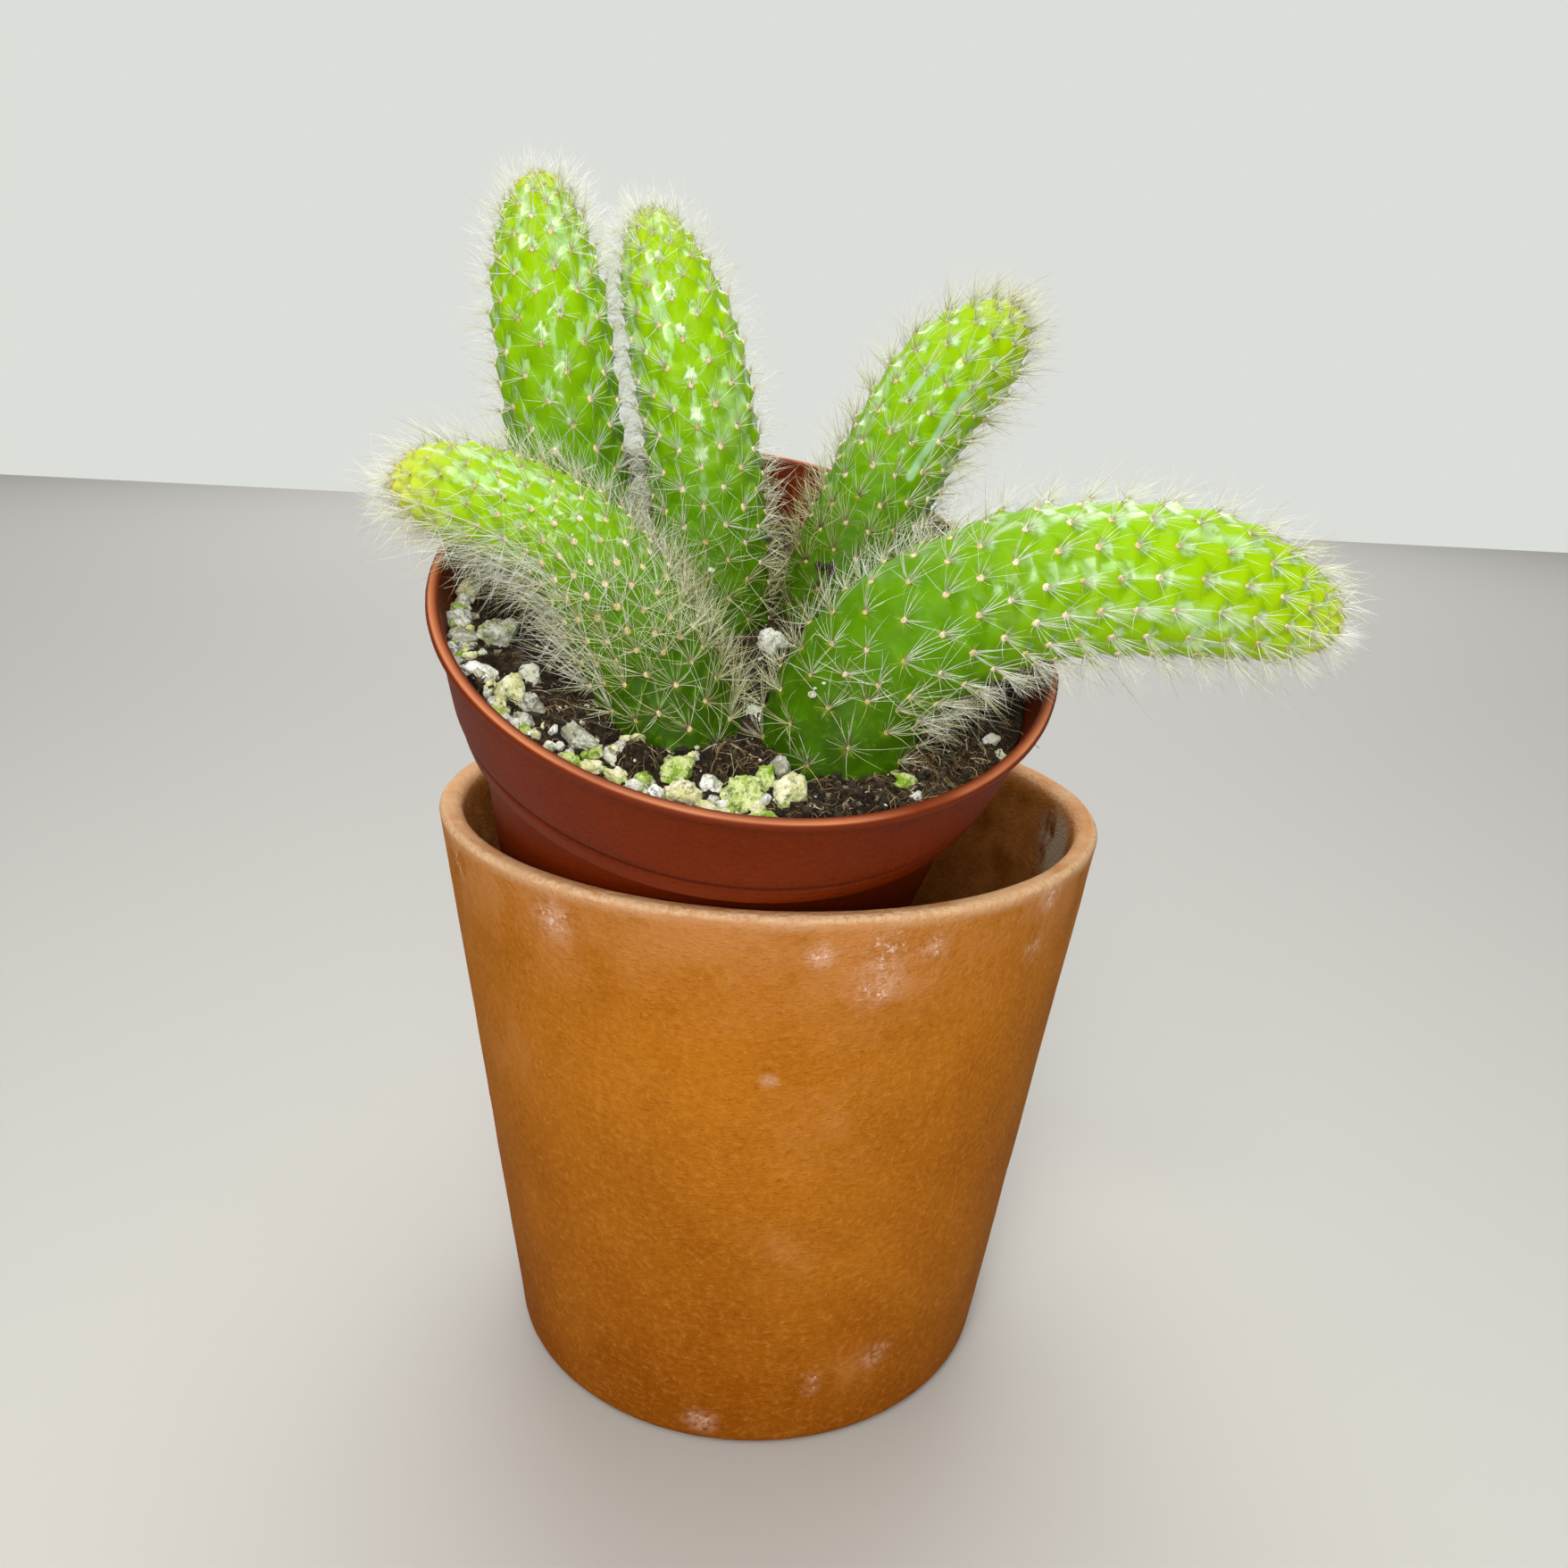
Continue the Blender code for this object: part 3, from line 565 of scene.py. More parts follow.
@dataclass(frozen=True)
class ClayFinish:
    """Unglazed fired clay: mottled orange, paler at the rim, with salt that has come through."""

    deep: Colour = paint(146, 77, 2)
    light: Colour = paint(186, 113, 26)
    grit: Colour = paint(210, 146, 70)
    shade: Colour = paint(112, 58, 4)
    rim: Colour = paint(226, 184, 142)
    pink: Colour = paint(196, 130, 70)
    salt: Colour = paint(236, 200, 178)
    # Pale colour of the rim's outer arris: partly wear and partly a painted highlight.
    edge: Colour = paint(238, 202, 160)
    inner: Colour = paint(168, 108, 50)
    # Pale grey painted reflection on the inner wall, by the rim on the right.
    painted_reflection: Colour = paint(176, 156, 130)
    haze_spots: tuple[Patch, ...] = (
        ((12.9, -60.6, 80.7), 22), ((5.4, -57, 50), 14), ((19.4, -62.4, 107), 16),
        ((-56.6, -34.4, 114), 12), ((-46, -41, 80), 18), ((20, -50, 18), 13),
        ((44, 40, 70), 30), ((-30, 52, 40), 26))
    salt_spots: tuple[Patch, ...] = (
        ((20.3, -63, 114.1), 6), ((9.4, -65.4, 113), 4.5), ((28.1, -59.8, 113), 5),
        ((19.4, -62.4, 107.3), 9), ((-35.5, -55.6, 112.8), 8), ((-56.6, -34.4, 114.3), 6),
        ((50.1, -44, 117), 6), ((47.9, -44.4, 107), 5), ((-7.8, -51.8, 6), 6),
        ((25.7, -47.8, 20.5), 6), ((12.7, -52.2, 16.4), 5), ((2.1, -62.9, 88.5), 3),
        ((-20, 60, 112), 10), ((52, 30, 100), 9))
    reflection_spot: Patch = ((61.6, 2.4, 112), 15)

    def make(self) -> Material:
        """Builds the material: mottle, haze by the rim, salt, edges that are partly worn and partly a
        painted highlight, and a fine grain.

        Returns:
            The material.
        """
        shader = Shader("clay")
        spot = shader.spot()
        level = shader.value("level")
        inside = shader.value("inside")
        broad = shader.noise(spot, 45, 2.0)
        cloud = shader.noise(spot, 12, 4.0, Roughness=0.6)
        grain = shader.noise(shader.spot((1, 1, 2.5)), 0.9, 3.0)
        sand = shader.noise(spot, 1.3, 4.0, Roughness=0.7)
        flecks = shader.noise(spot, 1.6, 4.0, Roughness=0.75)
        dark = shader.noise(spot, 6, 5.0, Roughness=0.7).step(0.6, 0.8)
        mottle = 0.42 * broad + 0.3 * cloud + 0.28 * sand
        # Paler higher up and darker towards the foot; the darker foot is partly painted shade.
        mottle = mottle + 0.35 * level.step(-20 * MM, 90 * MM) - 0.2
        rim = level.step(116.5 * MM, 119.5 * MM) * (1 - inside)
        haze = level.step(86 * MM, 119 * MM) * cloud.step(0.2, 0.7) * 0.7
        haze = haze + shader.near(spot, *self.haze_spots) * cloud.step(0.3, 0.7) * 0.5
        patches = level.step(108 * MM, 120 * MM) * 0.25 + shader.near(spot, *self.salt_spots)
        pale_patches = patches.step(0.0, 1.6) * cloud.step(0.3, 0.6) * sand.step(0.3, 0.6)
        salt = (flecks + patches.step(0.0, 1.4) * 0.2).step(0.68, 0.82)
        # The rim's outer arris: paler partly from wear and partly as a painted highlight.
        edge = shader.value("worn") * (0.3 + sand).step(0.55, 0.95) * cloud.step(0.25, 0.55)
        # A painted reflection: a pale grey patch on the inner wall.
        painted_reflection = shader.near(spot, self.reflection_spot) * cloud.step(0.25, 0.5)
        inner = shader.ramp(cloud, (0.3, self.shade), (0.7, self.inner))
        inner = shader.layer(inner, (painted_reflection.step(0.0, 0.7) * 0.85, self.painted_reflection))
        colour = shader.layer(
            shader.ramp(mottle, (0.3, self.deep), (0.74, self.light)),
            (sand.step(0.5, 0.7) * 0.26, self.grit),
            ((1 - sand.step(0.28, 0.46)) * 0.24, self.shade),
            (rim * 0.85, self.rim),
            (haze.step(0.0, 1.0), self.pink),
            (dark * 0.3, self.shade),
            (pale_patches * 0.55, self.salt),
            (salt * 0.8, self.salt),
            (edge * 0.85, self.edge),
            (inside, inner))
        relief = shader.bump(grain + 0.6 * flecks, 0.26 * MM)
        relief = shader.bump(sand, 0.6 * MM, relief)
        rough = 0.6 + 0.2 * sand + 0.1 * salt
        return shader.dress(Base_Color=colour, Roughness=rough, Normal=relief,
                            Specular_IOR_Level=0.04)


@dataclass(frozen=True)
class PlasticFinish:
    """Thin red-brown plastic with a fine leathery skin, pale scuffs and a painted lip highlight."""

    body: Colour = paint(104, 30, 0)
    light: Colour = paint(122, 42, 2)
    lip: Colour = paint(104, 36, 8)
    # Colour of the painted highlight along the lip's rolled edge.
    arris: Colour = paint(214, 134, 90)
    scuff: Colour = paint(215, 160, 120)
    # Painted shade in the groove round the collar.
    groove: Colour = paint(64, 14, 0)

    def make(self) -> Material:
        """Builds the material: a slow change of tone, scuffs, a painted highlight along the lip,
        painted shade in the groove and a leathery relief.

        Returns:
            The material.
        """
        shader = Shader("nursery_plastic")
        spot = shader.spot()
        level = shader.value("level")
        lip = shader.value("lip")
        broad = shader.noise(spot, 30, 3.0)
        leather = shader.noise(spot, 1, 4.0, Roughness=0.65)
        scratch = shader.noise(spot, 2.2, 6.0, Roughness=0.8).step(0.69, 0.76)
        # A painted highlight: a thin pale line along the lip's rolled edge.
        arris = shader.value("arris") * broad.step(0.25, 0.6)
        # Painted shade: the groove round the collar is darkened.
        groove = level.step(-19.6 * MM, -18.9 * MM) * (1 - level.step(-18.2 * MM, -17.6 * MM))
        colour = shader.layer(
            shader.ramp(0.5 * broad + 0.5 * leather, (0.36, self.body), (0.66, self.light)),
            (scratch * broad.step(0.4, 0.6) * 0.6, self.scuff),
            (lip, self.lip),
            (arris * 0.8, self.arris),
            (groove * 0.6, self.groove))
        smooth_band = 1 - level.step(-20.5 * MM, -19.5 * MM)
        relief = shader.bump(leather * (1 - 0.7 * smooth_band) * (1 - 0.8 * lip), 0.5 * MM)
        rough = 0.42 + 0.16 * leather + 0.1 * broad - 0.08 * lip
        return shader.dress(Base_Color=colour, Roughness=rough, Normal=relief,
                            Specular_IOR_Level=0.1)


@dataclass(frozen=True)
class PeatFinish:
    """Dark moist peat, from nearly black to brown, with pale grains."""

    dark: Colour = paint(16, 11, 7)
    brown: Colour = paint(68, 52, 34)
    pale: Colour = paint(150, 134, 104)

    def make(self) -> Material:
        """Builds the material: peat crumbs by noise at two sizes, and specks.

        Returns:
            The material.
        """
        shader = Shader("peat")
        spot = shader.spot()
        broad = shader.noise(spot, 9, 3.0)
        crumb = shader.noise(spot, 1.1, 5.0, Roughness=0.7)
        speck = shader.noise(spot, 0.6, 2.0).step(0.64, 0.72)
        colour = shader.ramp(0.35 * broad + 0.65 * crumb, (0.4, self.dark), (0.66, self.brown))
        colour = shader.layer(colour, (speck * 0.6, self.pale))
        return shader.dress(Base_Color=colour, Roughness=0.95, Specular_IOR_Level=0.2,
                            Normal=shader.bump(crumb, 0.9 * MM))


@dataclass(frozen=True)
class ToneFinish:
    """A thin thing whose colour runs from dark to pale by the number that each point carries."""

    name: str
    stops: Stops
    roughness: float
    speck: float = 0.6

    def make(self) -> Material:
        """Builds the material: a ramp on the carried tone, broken by fine noise.

        Returns:
            The material.
        """
        shader = Shader(self.name)
        spread = shader.noise(shader.spot(), self.speck, 2.0)
        colour = shader.ramp(shader.value("tone") + 0.16 * spread - 0.08, *self.stops)
        return shader.dress(Base_Color=colour, Roughness=self.roughness, Specular_IOR_Level=0.35)


class Tint(Enum):
    """Colour of a pumice stone: its main colour, and the colour of its stains."""

    WHITE = (paint(246, 246, 242), paint(206, 206, 190))
    CREAM = (paint(238, 234, 200), paint(206, 204, 136))
    GREY = (paint(212, 212, 200), paint(150, 148, 124))
    GREEN = (paint(218, 226, 160), paint(132, 170, 22))


@dataclass(frozen=True)
class PumiceFinish:
    """Rough, porous stone with dark pores, and algae in its hollows."""

    tint: Tint
    algae: Colour = paint(160, 182, 64)
    pore: Colour = paint(84, 80, 48)
    crack: Colour = paint(96, 88, 56)

    def make(self) -> Material:
        """Builds the material: the tint with stains and algae, dark pores, and a rough relief.

        Returns:
            The material.
        """
        shader = Shader("pumice_" + self.tint.name.lower())
        main, stain = self.tint.value
        spot = shader.spot()
        patch = shader.noise(spot, 2.4, 3.0)
        grain = shader.noise(spot, 0.6, 4.0, Roughness=0.65)
        pores = shader.noise(spot, 1.3, 4.0, Roughness=0.7).step(0.57, 0.65)
        algae = shader.noise(spot, 4, 2.0).step(0.54, 0.68)
        cracks = shader.value("pit").step(0.2, 0.9) * grain.step(0.35, 0.6)
        colour = shader.layer(
            shader.ramp(0.6 * patch + 0.4 * grain, (0.42, stain), (0.58, main)),
            (algae * 0.45, self.algae),
            (pores * patch.step(0.38, 0.55) * 0.7, self.pore),
            (cracks * 0.6, self.crack))
        relief = shader.bump(grain - 0.5 * pores, 0.5 * MM)
        return shader.dress(Base_Color=colour, Roughness=0.9, Normal=relief,
                            Specular_IOR_Level=0.3)


@dataclass(frozen=True)
class SkinFinish:
    """Glossy lime-green skin, deeper green by the soil, partly as painted shade, and yellower at the
    tip.
    """

    name: str = "cactus_skin"
    scars: tuple[tuple[Vector, ...], ...] = ()
    scar_edge: tuple[float, float] = (0.45 * MM, 1.05 * MM)
    # Greens from root to tip. The deep greens low on the stem are partly painted shade under the
    # hairs.
    greens: Stops = ((0.08, paint(48, 80, 0)), (0.3, paint(90, 140, 0)),
                     (0.55, paint(141, 190, 0)), (0.85, paint(165, 199, 0)),
                     (1.0, paint(186, 204, 20)))
    # Painted shade in the furrows between the knobs.
    furrow_shade: Colour = paint(70, 122, 0)
    crest: Colour = paint(146, 168, 12)
    fleck: Colour = paint(156, 202, 6)
    # Pale mint colour of the painted highlights on the skin.
    wax: Colour = paint(188, 230, 158)
    tip: Colour = paint(216, 218, 92)
    bruise: Colour = paint(136, 128, 44)
    bruise_spot: Patch = ((99, -41, 157.5), 11)
    scar: Colour = paint(158, 200, 150)

    def _streak(self, shader: Shader, spot: Signal, line: tuple[Vector, ...]) -> Signal:
        """A thin streak along a line of points: 1 on it, and 0 past the scar's edge.

        The foot of a place on one stretch lies at a share of the way, which is the dot product of
        its offset and the way, over the way's length squared, kept from 0 to 1. The streak is the
        greatest of the stretches' own.

        Args:
            shader: The material's node tree.
            spot: The place on the object.
            line: Points of the line, in millimetres.

        Returns:
            The streak's mask.
        """
        streak = 0.0
        for start, end in zip(line, line[1:]):
            origin, target = np.array(start) * MM, np.array(end) * MM
            way = target - origin
            offset = shader.vector("SUBTRACT", spot, tuple(origin))
            share = shader.vector("DOT_PRODUCT", offset, tuple(way / way.dot(way)), "Value")
            share = shader.add("ShaderNodeClamp", {}, {"Value": share})
            foot = shader.add("ShaderNodeVectorMath", {"operation": "SCALE"},
                              {0: tuple(way), "Scale": share})
            near = 1 - shader.vector("DISTANCE", offset, foot, "Value").step(*self.scar_edge)
            streak = shader.add("ShaderNodeMath", {"operation": "MAXIMUM"}, {0: streak, 1: near})
        return streak

    def make(self) -> Material:
        """Builds the material: green by place on the stem, a painted highlight, scars, and a moist
        gloss.

        Returns:
            The material.
        """
        shader = Shader(self.name)
        spot = shader.spot()
        along = shader.value("along")
        knob = shader.value("knob")
        wax = shader.value("wax")
        mottle = shader.noise(spot, 5, 3.0)
        fine = shader.noise(spot, 1.1, 3.0)
        # The painted highlight: pale mint patches where its mask is high, broken by noise.
        pale_patches = wax.step(0.45, 0.95) * shader.noise(spot, 2.4, 3.0).step(0.34, 0.52)
        streaks = [(self._streak(shader, spot, line) * fine.step(0.25, 0.42) * 0.9, self.scar)
                   for line in self.scars]
        colour = shader.layer(
            shader.ramp(along + 0.16 * mottle - 0.08, *self.greens),
            # Painted shade where the knobs sink into the furrows.
            ((1 - knob.step(0.0, 0.35)) * 0.45, self.furrow_shade),
            (knob.step(0.8, 1.0) * 0.3, self.crest),
            (fine.step(0.55, 0.8) * 0.15, self.fleck),
            (pale_patches * 0.66, self.wax),
            (shader.value("tip"), self.tip),
            (shader.near(spot, self.bruise_spot) * 0.7, self.bruise),
            *streaks)
        rough = 0.5 - 0.12 * along.step(0.05, 0.5) + 0.08 * fine
        # The same mask gives the coat's real gloss.
        gloss = wax.step(0.1, 0.6) * mottle.step(0.34, 0.52) * along.step(0.15, 0.5)
        return shader.dress(Base_Color=colour, Roughness=rough, Specular_IOR_Level=0.08,
                            Normal=shader.bump(fine, 0.09 * MM),
                            Coat_Weight=gloss, Coat_Roughness=0.24, Coat_IOR=1.75,
                            Subsurface_Weight=0.05, Subsurface_Radius=(0.5, 1.0, 0.05),
                            Subsurface_Scale=0.002)


HAIR_STOPS = ((0.0, paint(98, 78, 50)), (0.25, paint(170, 152, 106)),
              (0.5, paint(214, 218, 146)), (0.7, paint(244, 243, 220)),
              (0.88, paint(253, 253, 248)), (1.0, paint(255, 255, 254)))
WOOL_STOPS = ((0.0, paint(176, 164, 84)), (0.35, paint(208, 190, 126)),
              (0.6, paint(228, 206, 162)), (1.0, paint(242, 230, 204)))
FIBRE_STOPS = ((0.0, paint(44, 30, 18)), (0.4, paint(88, 66, 42)),
               (0.75, paint(156, 132, 90)), (1.0, paint(214, 200, 160)))
CRUMB_STOPS = ((0.0, paint(18, 13, 8)), (0.5, paint(62, 52, 36)), (1.0, paint(156, 146, 116)))
LEAF_STOPS = ((0.0, paint(130, 138, 60)), (1.0, paint(196, 200, 130)))


# Clay pot


def arc(centre: tuple[float, float], radius: float, start: float, end: float,
        count: int) -> Array:
    """Points of an arc of a profile, from one angle to another in degrees."""
    angle = np.radians(np.linspace(start, end, count))
    return np.stack([centre[0] + radius * np.cos(angle), centre[1] + radius * np.sin(angle)],
                    axis=-1)


def fill_in(profile: Array, spacing: float) -> Array:
    """Adds points to a profile, evenly between two that lie too far apart.

    Args:
        profile: Points of shape (n, 2).
        spacing: The greatest distance that is left.

    Returns:
        The fuller profile.
    """
    parts = [profile[:1]]
    for start, end in zip(profile, profile[1:]):
        pieces = max(1, math.ceil(np.linalg.norm(end - start) / spacing))
        parts.append(start + (end - start) * (np.arange(1, pieces + 1) / pieces)[:, None])
    return np.concatenate(parts)


def turned(profile: Array, steps: int) -> Array:
    """Rings of a turned body: each profile point is carried round the Z axis.

    Args:
        profile: Radius and height of each point.
        steps: Points of a ring.

    Returns:
        Points of shape (n, steps, 3).
    """
    angle = np.arange(steps) * FULL_TURN / steps
    radius = profile[:, :1]
    height = np.broadcast_to(profile[:, 1:], (len(profile), steps))
    return np.stack([radius * np.cos(angle), radius * np.sin(angle), height], axis=-1)


@dataclass(frozen=True)
class ClayPot:
    """The plain tapered clay pot: a thick wall and a flat rim, softer inside than outside."""

    height: float = 120 * MM
    rim_radius: float = 67 * MM
    base_radius: float = 51.7 * MM
    floor: float = 8 * MM
    inner_top_radius: float = 62.4 * MM
    inner_floor_radius: float = 45.4 * MM
    inner_round: float = 2.4 * MM
    outer_round: float = 1.5 * MM
    foot_round: float = 3.5 * MM
    middle_radius: float = 12 * MM
    steps: int = 144
    spacing: float = 3.2 * MM
    noises: tuple[Noise, ...] = ((0.25 * MM, 40 * MM, 3, 1), (0.08 * MM, 7 * MM, 5, 3))

    def outer_radius(self, height: float) -> float:
        """Outer radius at a height: it grows in a straight line from base to rim."""
        return self.base_radius + (self.rim_radius - self.base_radius) * height / self.height

    def profile(self) -> Array:
        """The section from the foot's middle up the outside, over the rim and down inside.

        Returns:
            Radius and height of each point.
        """
        lean = math.degrees(math.atan2(self.rim_radius - self.base_radius, self.height))
        spread = self.inner_top_radius - self.inner_floor_radius
        inner_lean = math.degrees(math.atan2(spread, self.height - self.floor))
        foot, top = self.foot_round, self.height
        parts = [
            [[self.middle_radius, 0]],
            arc((self.outer_radius(foot) - foot, foot), foot, -90, -lean, 8),
            arc((self.rim_radius - self.outer_round, top - self.outer_round), self.outer_round,
                -lean, 82, 8),
            arc((self.inner_top_radius + self.inner_round, top - self.inner_round),
                self.inner_round, 90, 180 - inner_lean, 10),
            arc((self.inner_floor_radius - foot, self.floor + foot), foot, -inner_lean, -90, 6),
            [[self.middle_radius, self.floor]],
        ]
        return fill_in(np.vstack(parts), self.spacing)

    def build(self) -> None:
        """Makes the pot, a little uneven as if pressed by hand."""
        profile = self.profile()
        rings = turned(profile, self.steps)
        outward = rings * np.array([1, 1, 0])
        outward = outward / np.maximum(np.linalg.norm(outward, axis=-1, keepdims=True), MM)
        swell = uneven(rings, *self.noises) * ease(0, 12 * MM, rings[..., 2])
        rings = rings + outward * swell[..., None]
        radius, level = np.hypot(rings[..., 0], rings[..., 1]), rings[..., 2]
        outer = np.array([self.outer_radius(height) for height in profile[:, 1]])[:, None]
        inside = (ease(1.5 * MM, 4 * MM, outer - radius)
                  * ease(0.5 * MM, 6 * MM, self.height - level) * (level > self.floor / 2))
        # Distance from the rim's outer arris, which is pale partly from wear and partly as a painted
        # highlight.
        arris = np.hypot(radius - self.rim_radius + 0.4 * MM, level - self.height + 0.5 * MM)
        worn = 1 - ease(0.35 * MM, 1.05 * MM, arris)
        points, quads, triangles = tubes(rings[None], np.array([[0, 0, 0]]),
                                         np.array([[0, 0, self.floor]]))
        piece = Piece("clay_pot", "clay")
        poles = np.zeros(2)
        piece.add(points, quads, triangles, level=points[:, 2],
                  inside=np.append(inside.ravel(), poles), worn=np.append(worn.ravel(), poles))
        piece.build(ClayFinish().make(), "terracotta_pot")


# Nursery pot


@dataclass(frozen=True)
class NurseryPot:
    """The thin plastic pot, tilted: a rolled lip, a grooved collar, a tapered body, drain holes.

    Levels are heights under the rim, and the burr is the roughness of the lip.
    """

    tilt: float = math.radians(26.5)
    azimuth: float = math.radians(-74.7)
    rim_centre: tuple[float, float, float] = (-4.9 * MM, -31.1 * MM, 164.1 * MM)
    lip_radius: float = 55.2 * MM
    lip_height: float = 1.5 * MM
    lip_flare: float = 0.3 * MM
    collar_top_radius: float = 53.9 * MM
    groove_radius: float = 50.9 * MM
    groove_level: float = -18.5 * MM
    groove_depth: float = 0.65 * MM
    collar_foot_radius: float = 49.9 * MM
    collar_foot_level: float = -23.1 * MM
    body_radius: float = 46.6 * MM
    base_radius: float = 38.5 * MM
    height: float = 99 * MM
    wall: float = 1.2 * MM
    drain_holes: int = 6
    drain_radius: float = 3.5 * MM
    drain_ring: float = 25 * MM
    middle_radius: float = 10 * MM
    steps: int = 156
    spacing: float = 2.6 * MM
    noises: tuple[Noise, ...] = ((0.35 * MM, 38 * MM, 12, 1), (0.07 * MM, 6 * MM, 8, 3))
    burr: float = 0.1 * MM
    burr_pitch: float = 1.6 * MM
    burr_seed: int = 21

    def axes(self) -> Array:
        """The pot's own axes: a turn by the tilt about a level line across the azimuth.

        With C the matrix whose product with a vector is the line's cross product with it, the turn
        is the unit matrix plus the sine times C plus (1 less the cosine) times C squared.

        Returns:
            The axes as columns.
        """
        line = np.array([-math.sin(self.azimuth), math.cos(self.azimuth), 0])
        cross = np.array([[0, -line[2], line[1]], [line[2], 0, -line[0]],
                          [-line[1], line[0], 0]])
        return np.eye(3) + math.sin(self.tilt) * cross + (1 - math.cos(self.tilt)) * cross @ cross

    def place(self, points: Array) -> Array:
        """Points of the pot's own frame, in the upright frame."""
        return points @ self.axes().T + np.array(self.rim_centre)

    def unplace(self, points: Array) -> Array:
        """Points of the upright frame, in the pot's own frame."""
        return (points - np.array(self.rim_centre)) @ self.axes()

    def inner_profile(self) -> Array:
        """The inside, from the floor up to the lip.

        Returns:
            Radius and height of each point.
        """
        wall = self.wall
        return np.array([
            (self.base_radius - wall, -self.height + wall),
            (self.body_radius - wall, self.collar_foot_level),
            (self.collar_foot_radius - wall, self.collar_foot_level + wall),
            (self.collar_top_radius - wall, -self.lip_height),
            (self.collar_top_radius - wall + self.lip_flare, 0),
        ])

    def inner_radius(self, height: Array) -> Array:
        """Inner radius at heights in the pot's own frame."""
        profile = self.inner_profile()
        return np.interp(height, profile[:, 1], profile[:, 0])

    def profile(self) -> Array:
        """The section from the base's middle up the outside, over the lip and down inside.

        Returns:
            Radius and height of each point.
        """
        roll = self.lip_height / 2
        groove = self.groove_depth
        inside = self.inner_profile()[::-1]
        edge = 0.45 * MM
        foot, collar = 1.2 * MM, 0.5 * MM
        parts = [
            [[self.middle_radius, -self.height], [self.base_radius - 1.5 * MM, -self.height]],
            arc((self.base_radius - foot, -self.height + foot), foot, -70, -5, 5),
            [[self.body_radius, self.collar_foot_level - 2.4 * groove],
             [self.body_radius + 0.3 * groove, self.collar_foot_level - 1.2 * groove]],
            arc((self.collar_foot_radius - collar, self.collar_foot_level + collar), collar,
                -100, 5, 5),
            [[self.groove_radius - 0.5 * groove, self.groove_level - 2.2 * groove],
             [self.groove_radius - 0.75 * groove, self.groove_level - groove],
             [self.groove_radius - 1.5 * groove, self.groove_level],
             [self.groove_radius + 0.15 * groove, self.groove_level + 0.8 * groove],
             [self.groove_radius + 0.7 * groove, self.groove_level + 1.6 * groove],
             [self.collar_top_radius, -self.lip_height - 0.25 * MM]],
            arc((self.lip_radius - roll, -roll), roll, -78, 88, 12),
            arc((inside[0][0] + edge, -edge), edge, 95, 180, 4),
            inside[1:],
            [[self.middle_radius, inside[-1][1]]],
        ]
        return fill_in(np.vstack(parts), self.spacing)

    def build(self) -> None:
        """Makes the pot with its drain holes cut."""
        rings = turned(self.profile(), self.steps)
        outward = unit(rings * np.array([1, 1, 0]))
        burr = lattice_noise(rings, self.burr_pitch, self.burr_seed) - 0.35
        burr = self.burr * np.maximum(0, burr) * ease(-4 * MM, -1 * MM, rings[..., 2])
        rings = rings + outward * (uneven(rings, *self.noises) * 0.5 + burr)[..., None]
        radius, level = np.hypot(rings[..., 0], rings[..., 1]), rings[..., 2]
        under = -self.lip_height
        lip = ease(under - 0.4 * MM, under, level) * (radius > self.collar_top_radius - 1.4 * MM)
        # A thin band along the lip's rolled edge, which carries a painted highlight.
        arris = np.hypot(radius - self.lip_radius + 0.6 * MM, level)
        arris = 1 - ease(0.1 * MM, 0.45 * MM, arris)
        points, quads, triangles = tubes(rings[None], np.array([[0, 0, -self.height]]),
                                         np.array([[0, 0, self.wall - self.height]]))
        piece = Piece("nursery_pot_shell", "nursery_plastic")
        poles = np.zeros(2)
        piece.add(self.place(points), quads, triangles, level=points[:, 2],
                  lip=np.append(lip.ravel(), poles), arris=np.append(arris.ravel(), poles))
        self._drill(piece.build(PlasticFinish().make(), "nursery_pot"))

    def _drill(self, shell: bpy.types.Object) -> None:
        """Cuts the drain holes: short round bars on a ring, taken away from the base.

        Args:
            shell: The pot without its holes.
        """
        angle = np.arange(self.drain_holes) * FULL_TURN / self.drain_holes
        middle = np.stack([np.cos(angle), np.sin(angle), 0 * angle], axis=-1) * self.drain_ring
        ends = middle - np.array([0, 0, self.height])
        half = 3 * self.wall
        bar = turned(np.array([[self.drain_radius, -half], [self.drain_radius, half]]), 32)
        rings = bar[None] + middle[:, None, None] - np.array([0, 0, self.height])
        lift = np.array([0, 0, half])
        points, quads, triangles = tubes(rings, ends - lift, ends + lift)
        mesh = bpy.data.meshes.new("drill")
        mesh.from_pydata(self.place(points).tolist(), [], quads.tolist() + triangles.tolist())
        drill = put("drill", mesh)
        cut = shell.modifiers.new("drain_holes", "BOOLEAN")
        cut.operation = "DIFFERENCE"
        cut.solver = "EXACT"
        cut.object = drill
        graph = bpy.context.evaluated_depsgraph_get()
        cleared = bpy.data.meshes.new_from_object(shell.evaluated_get(graph))
        shell.modifiers.clear()
        shell.data = cleared
        bpy.data.objects.remove(drill)
        LOG.info("nursery_pot_shell: %d drain holes", self.drain_holes)


# Soil


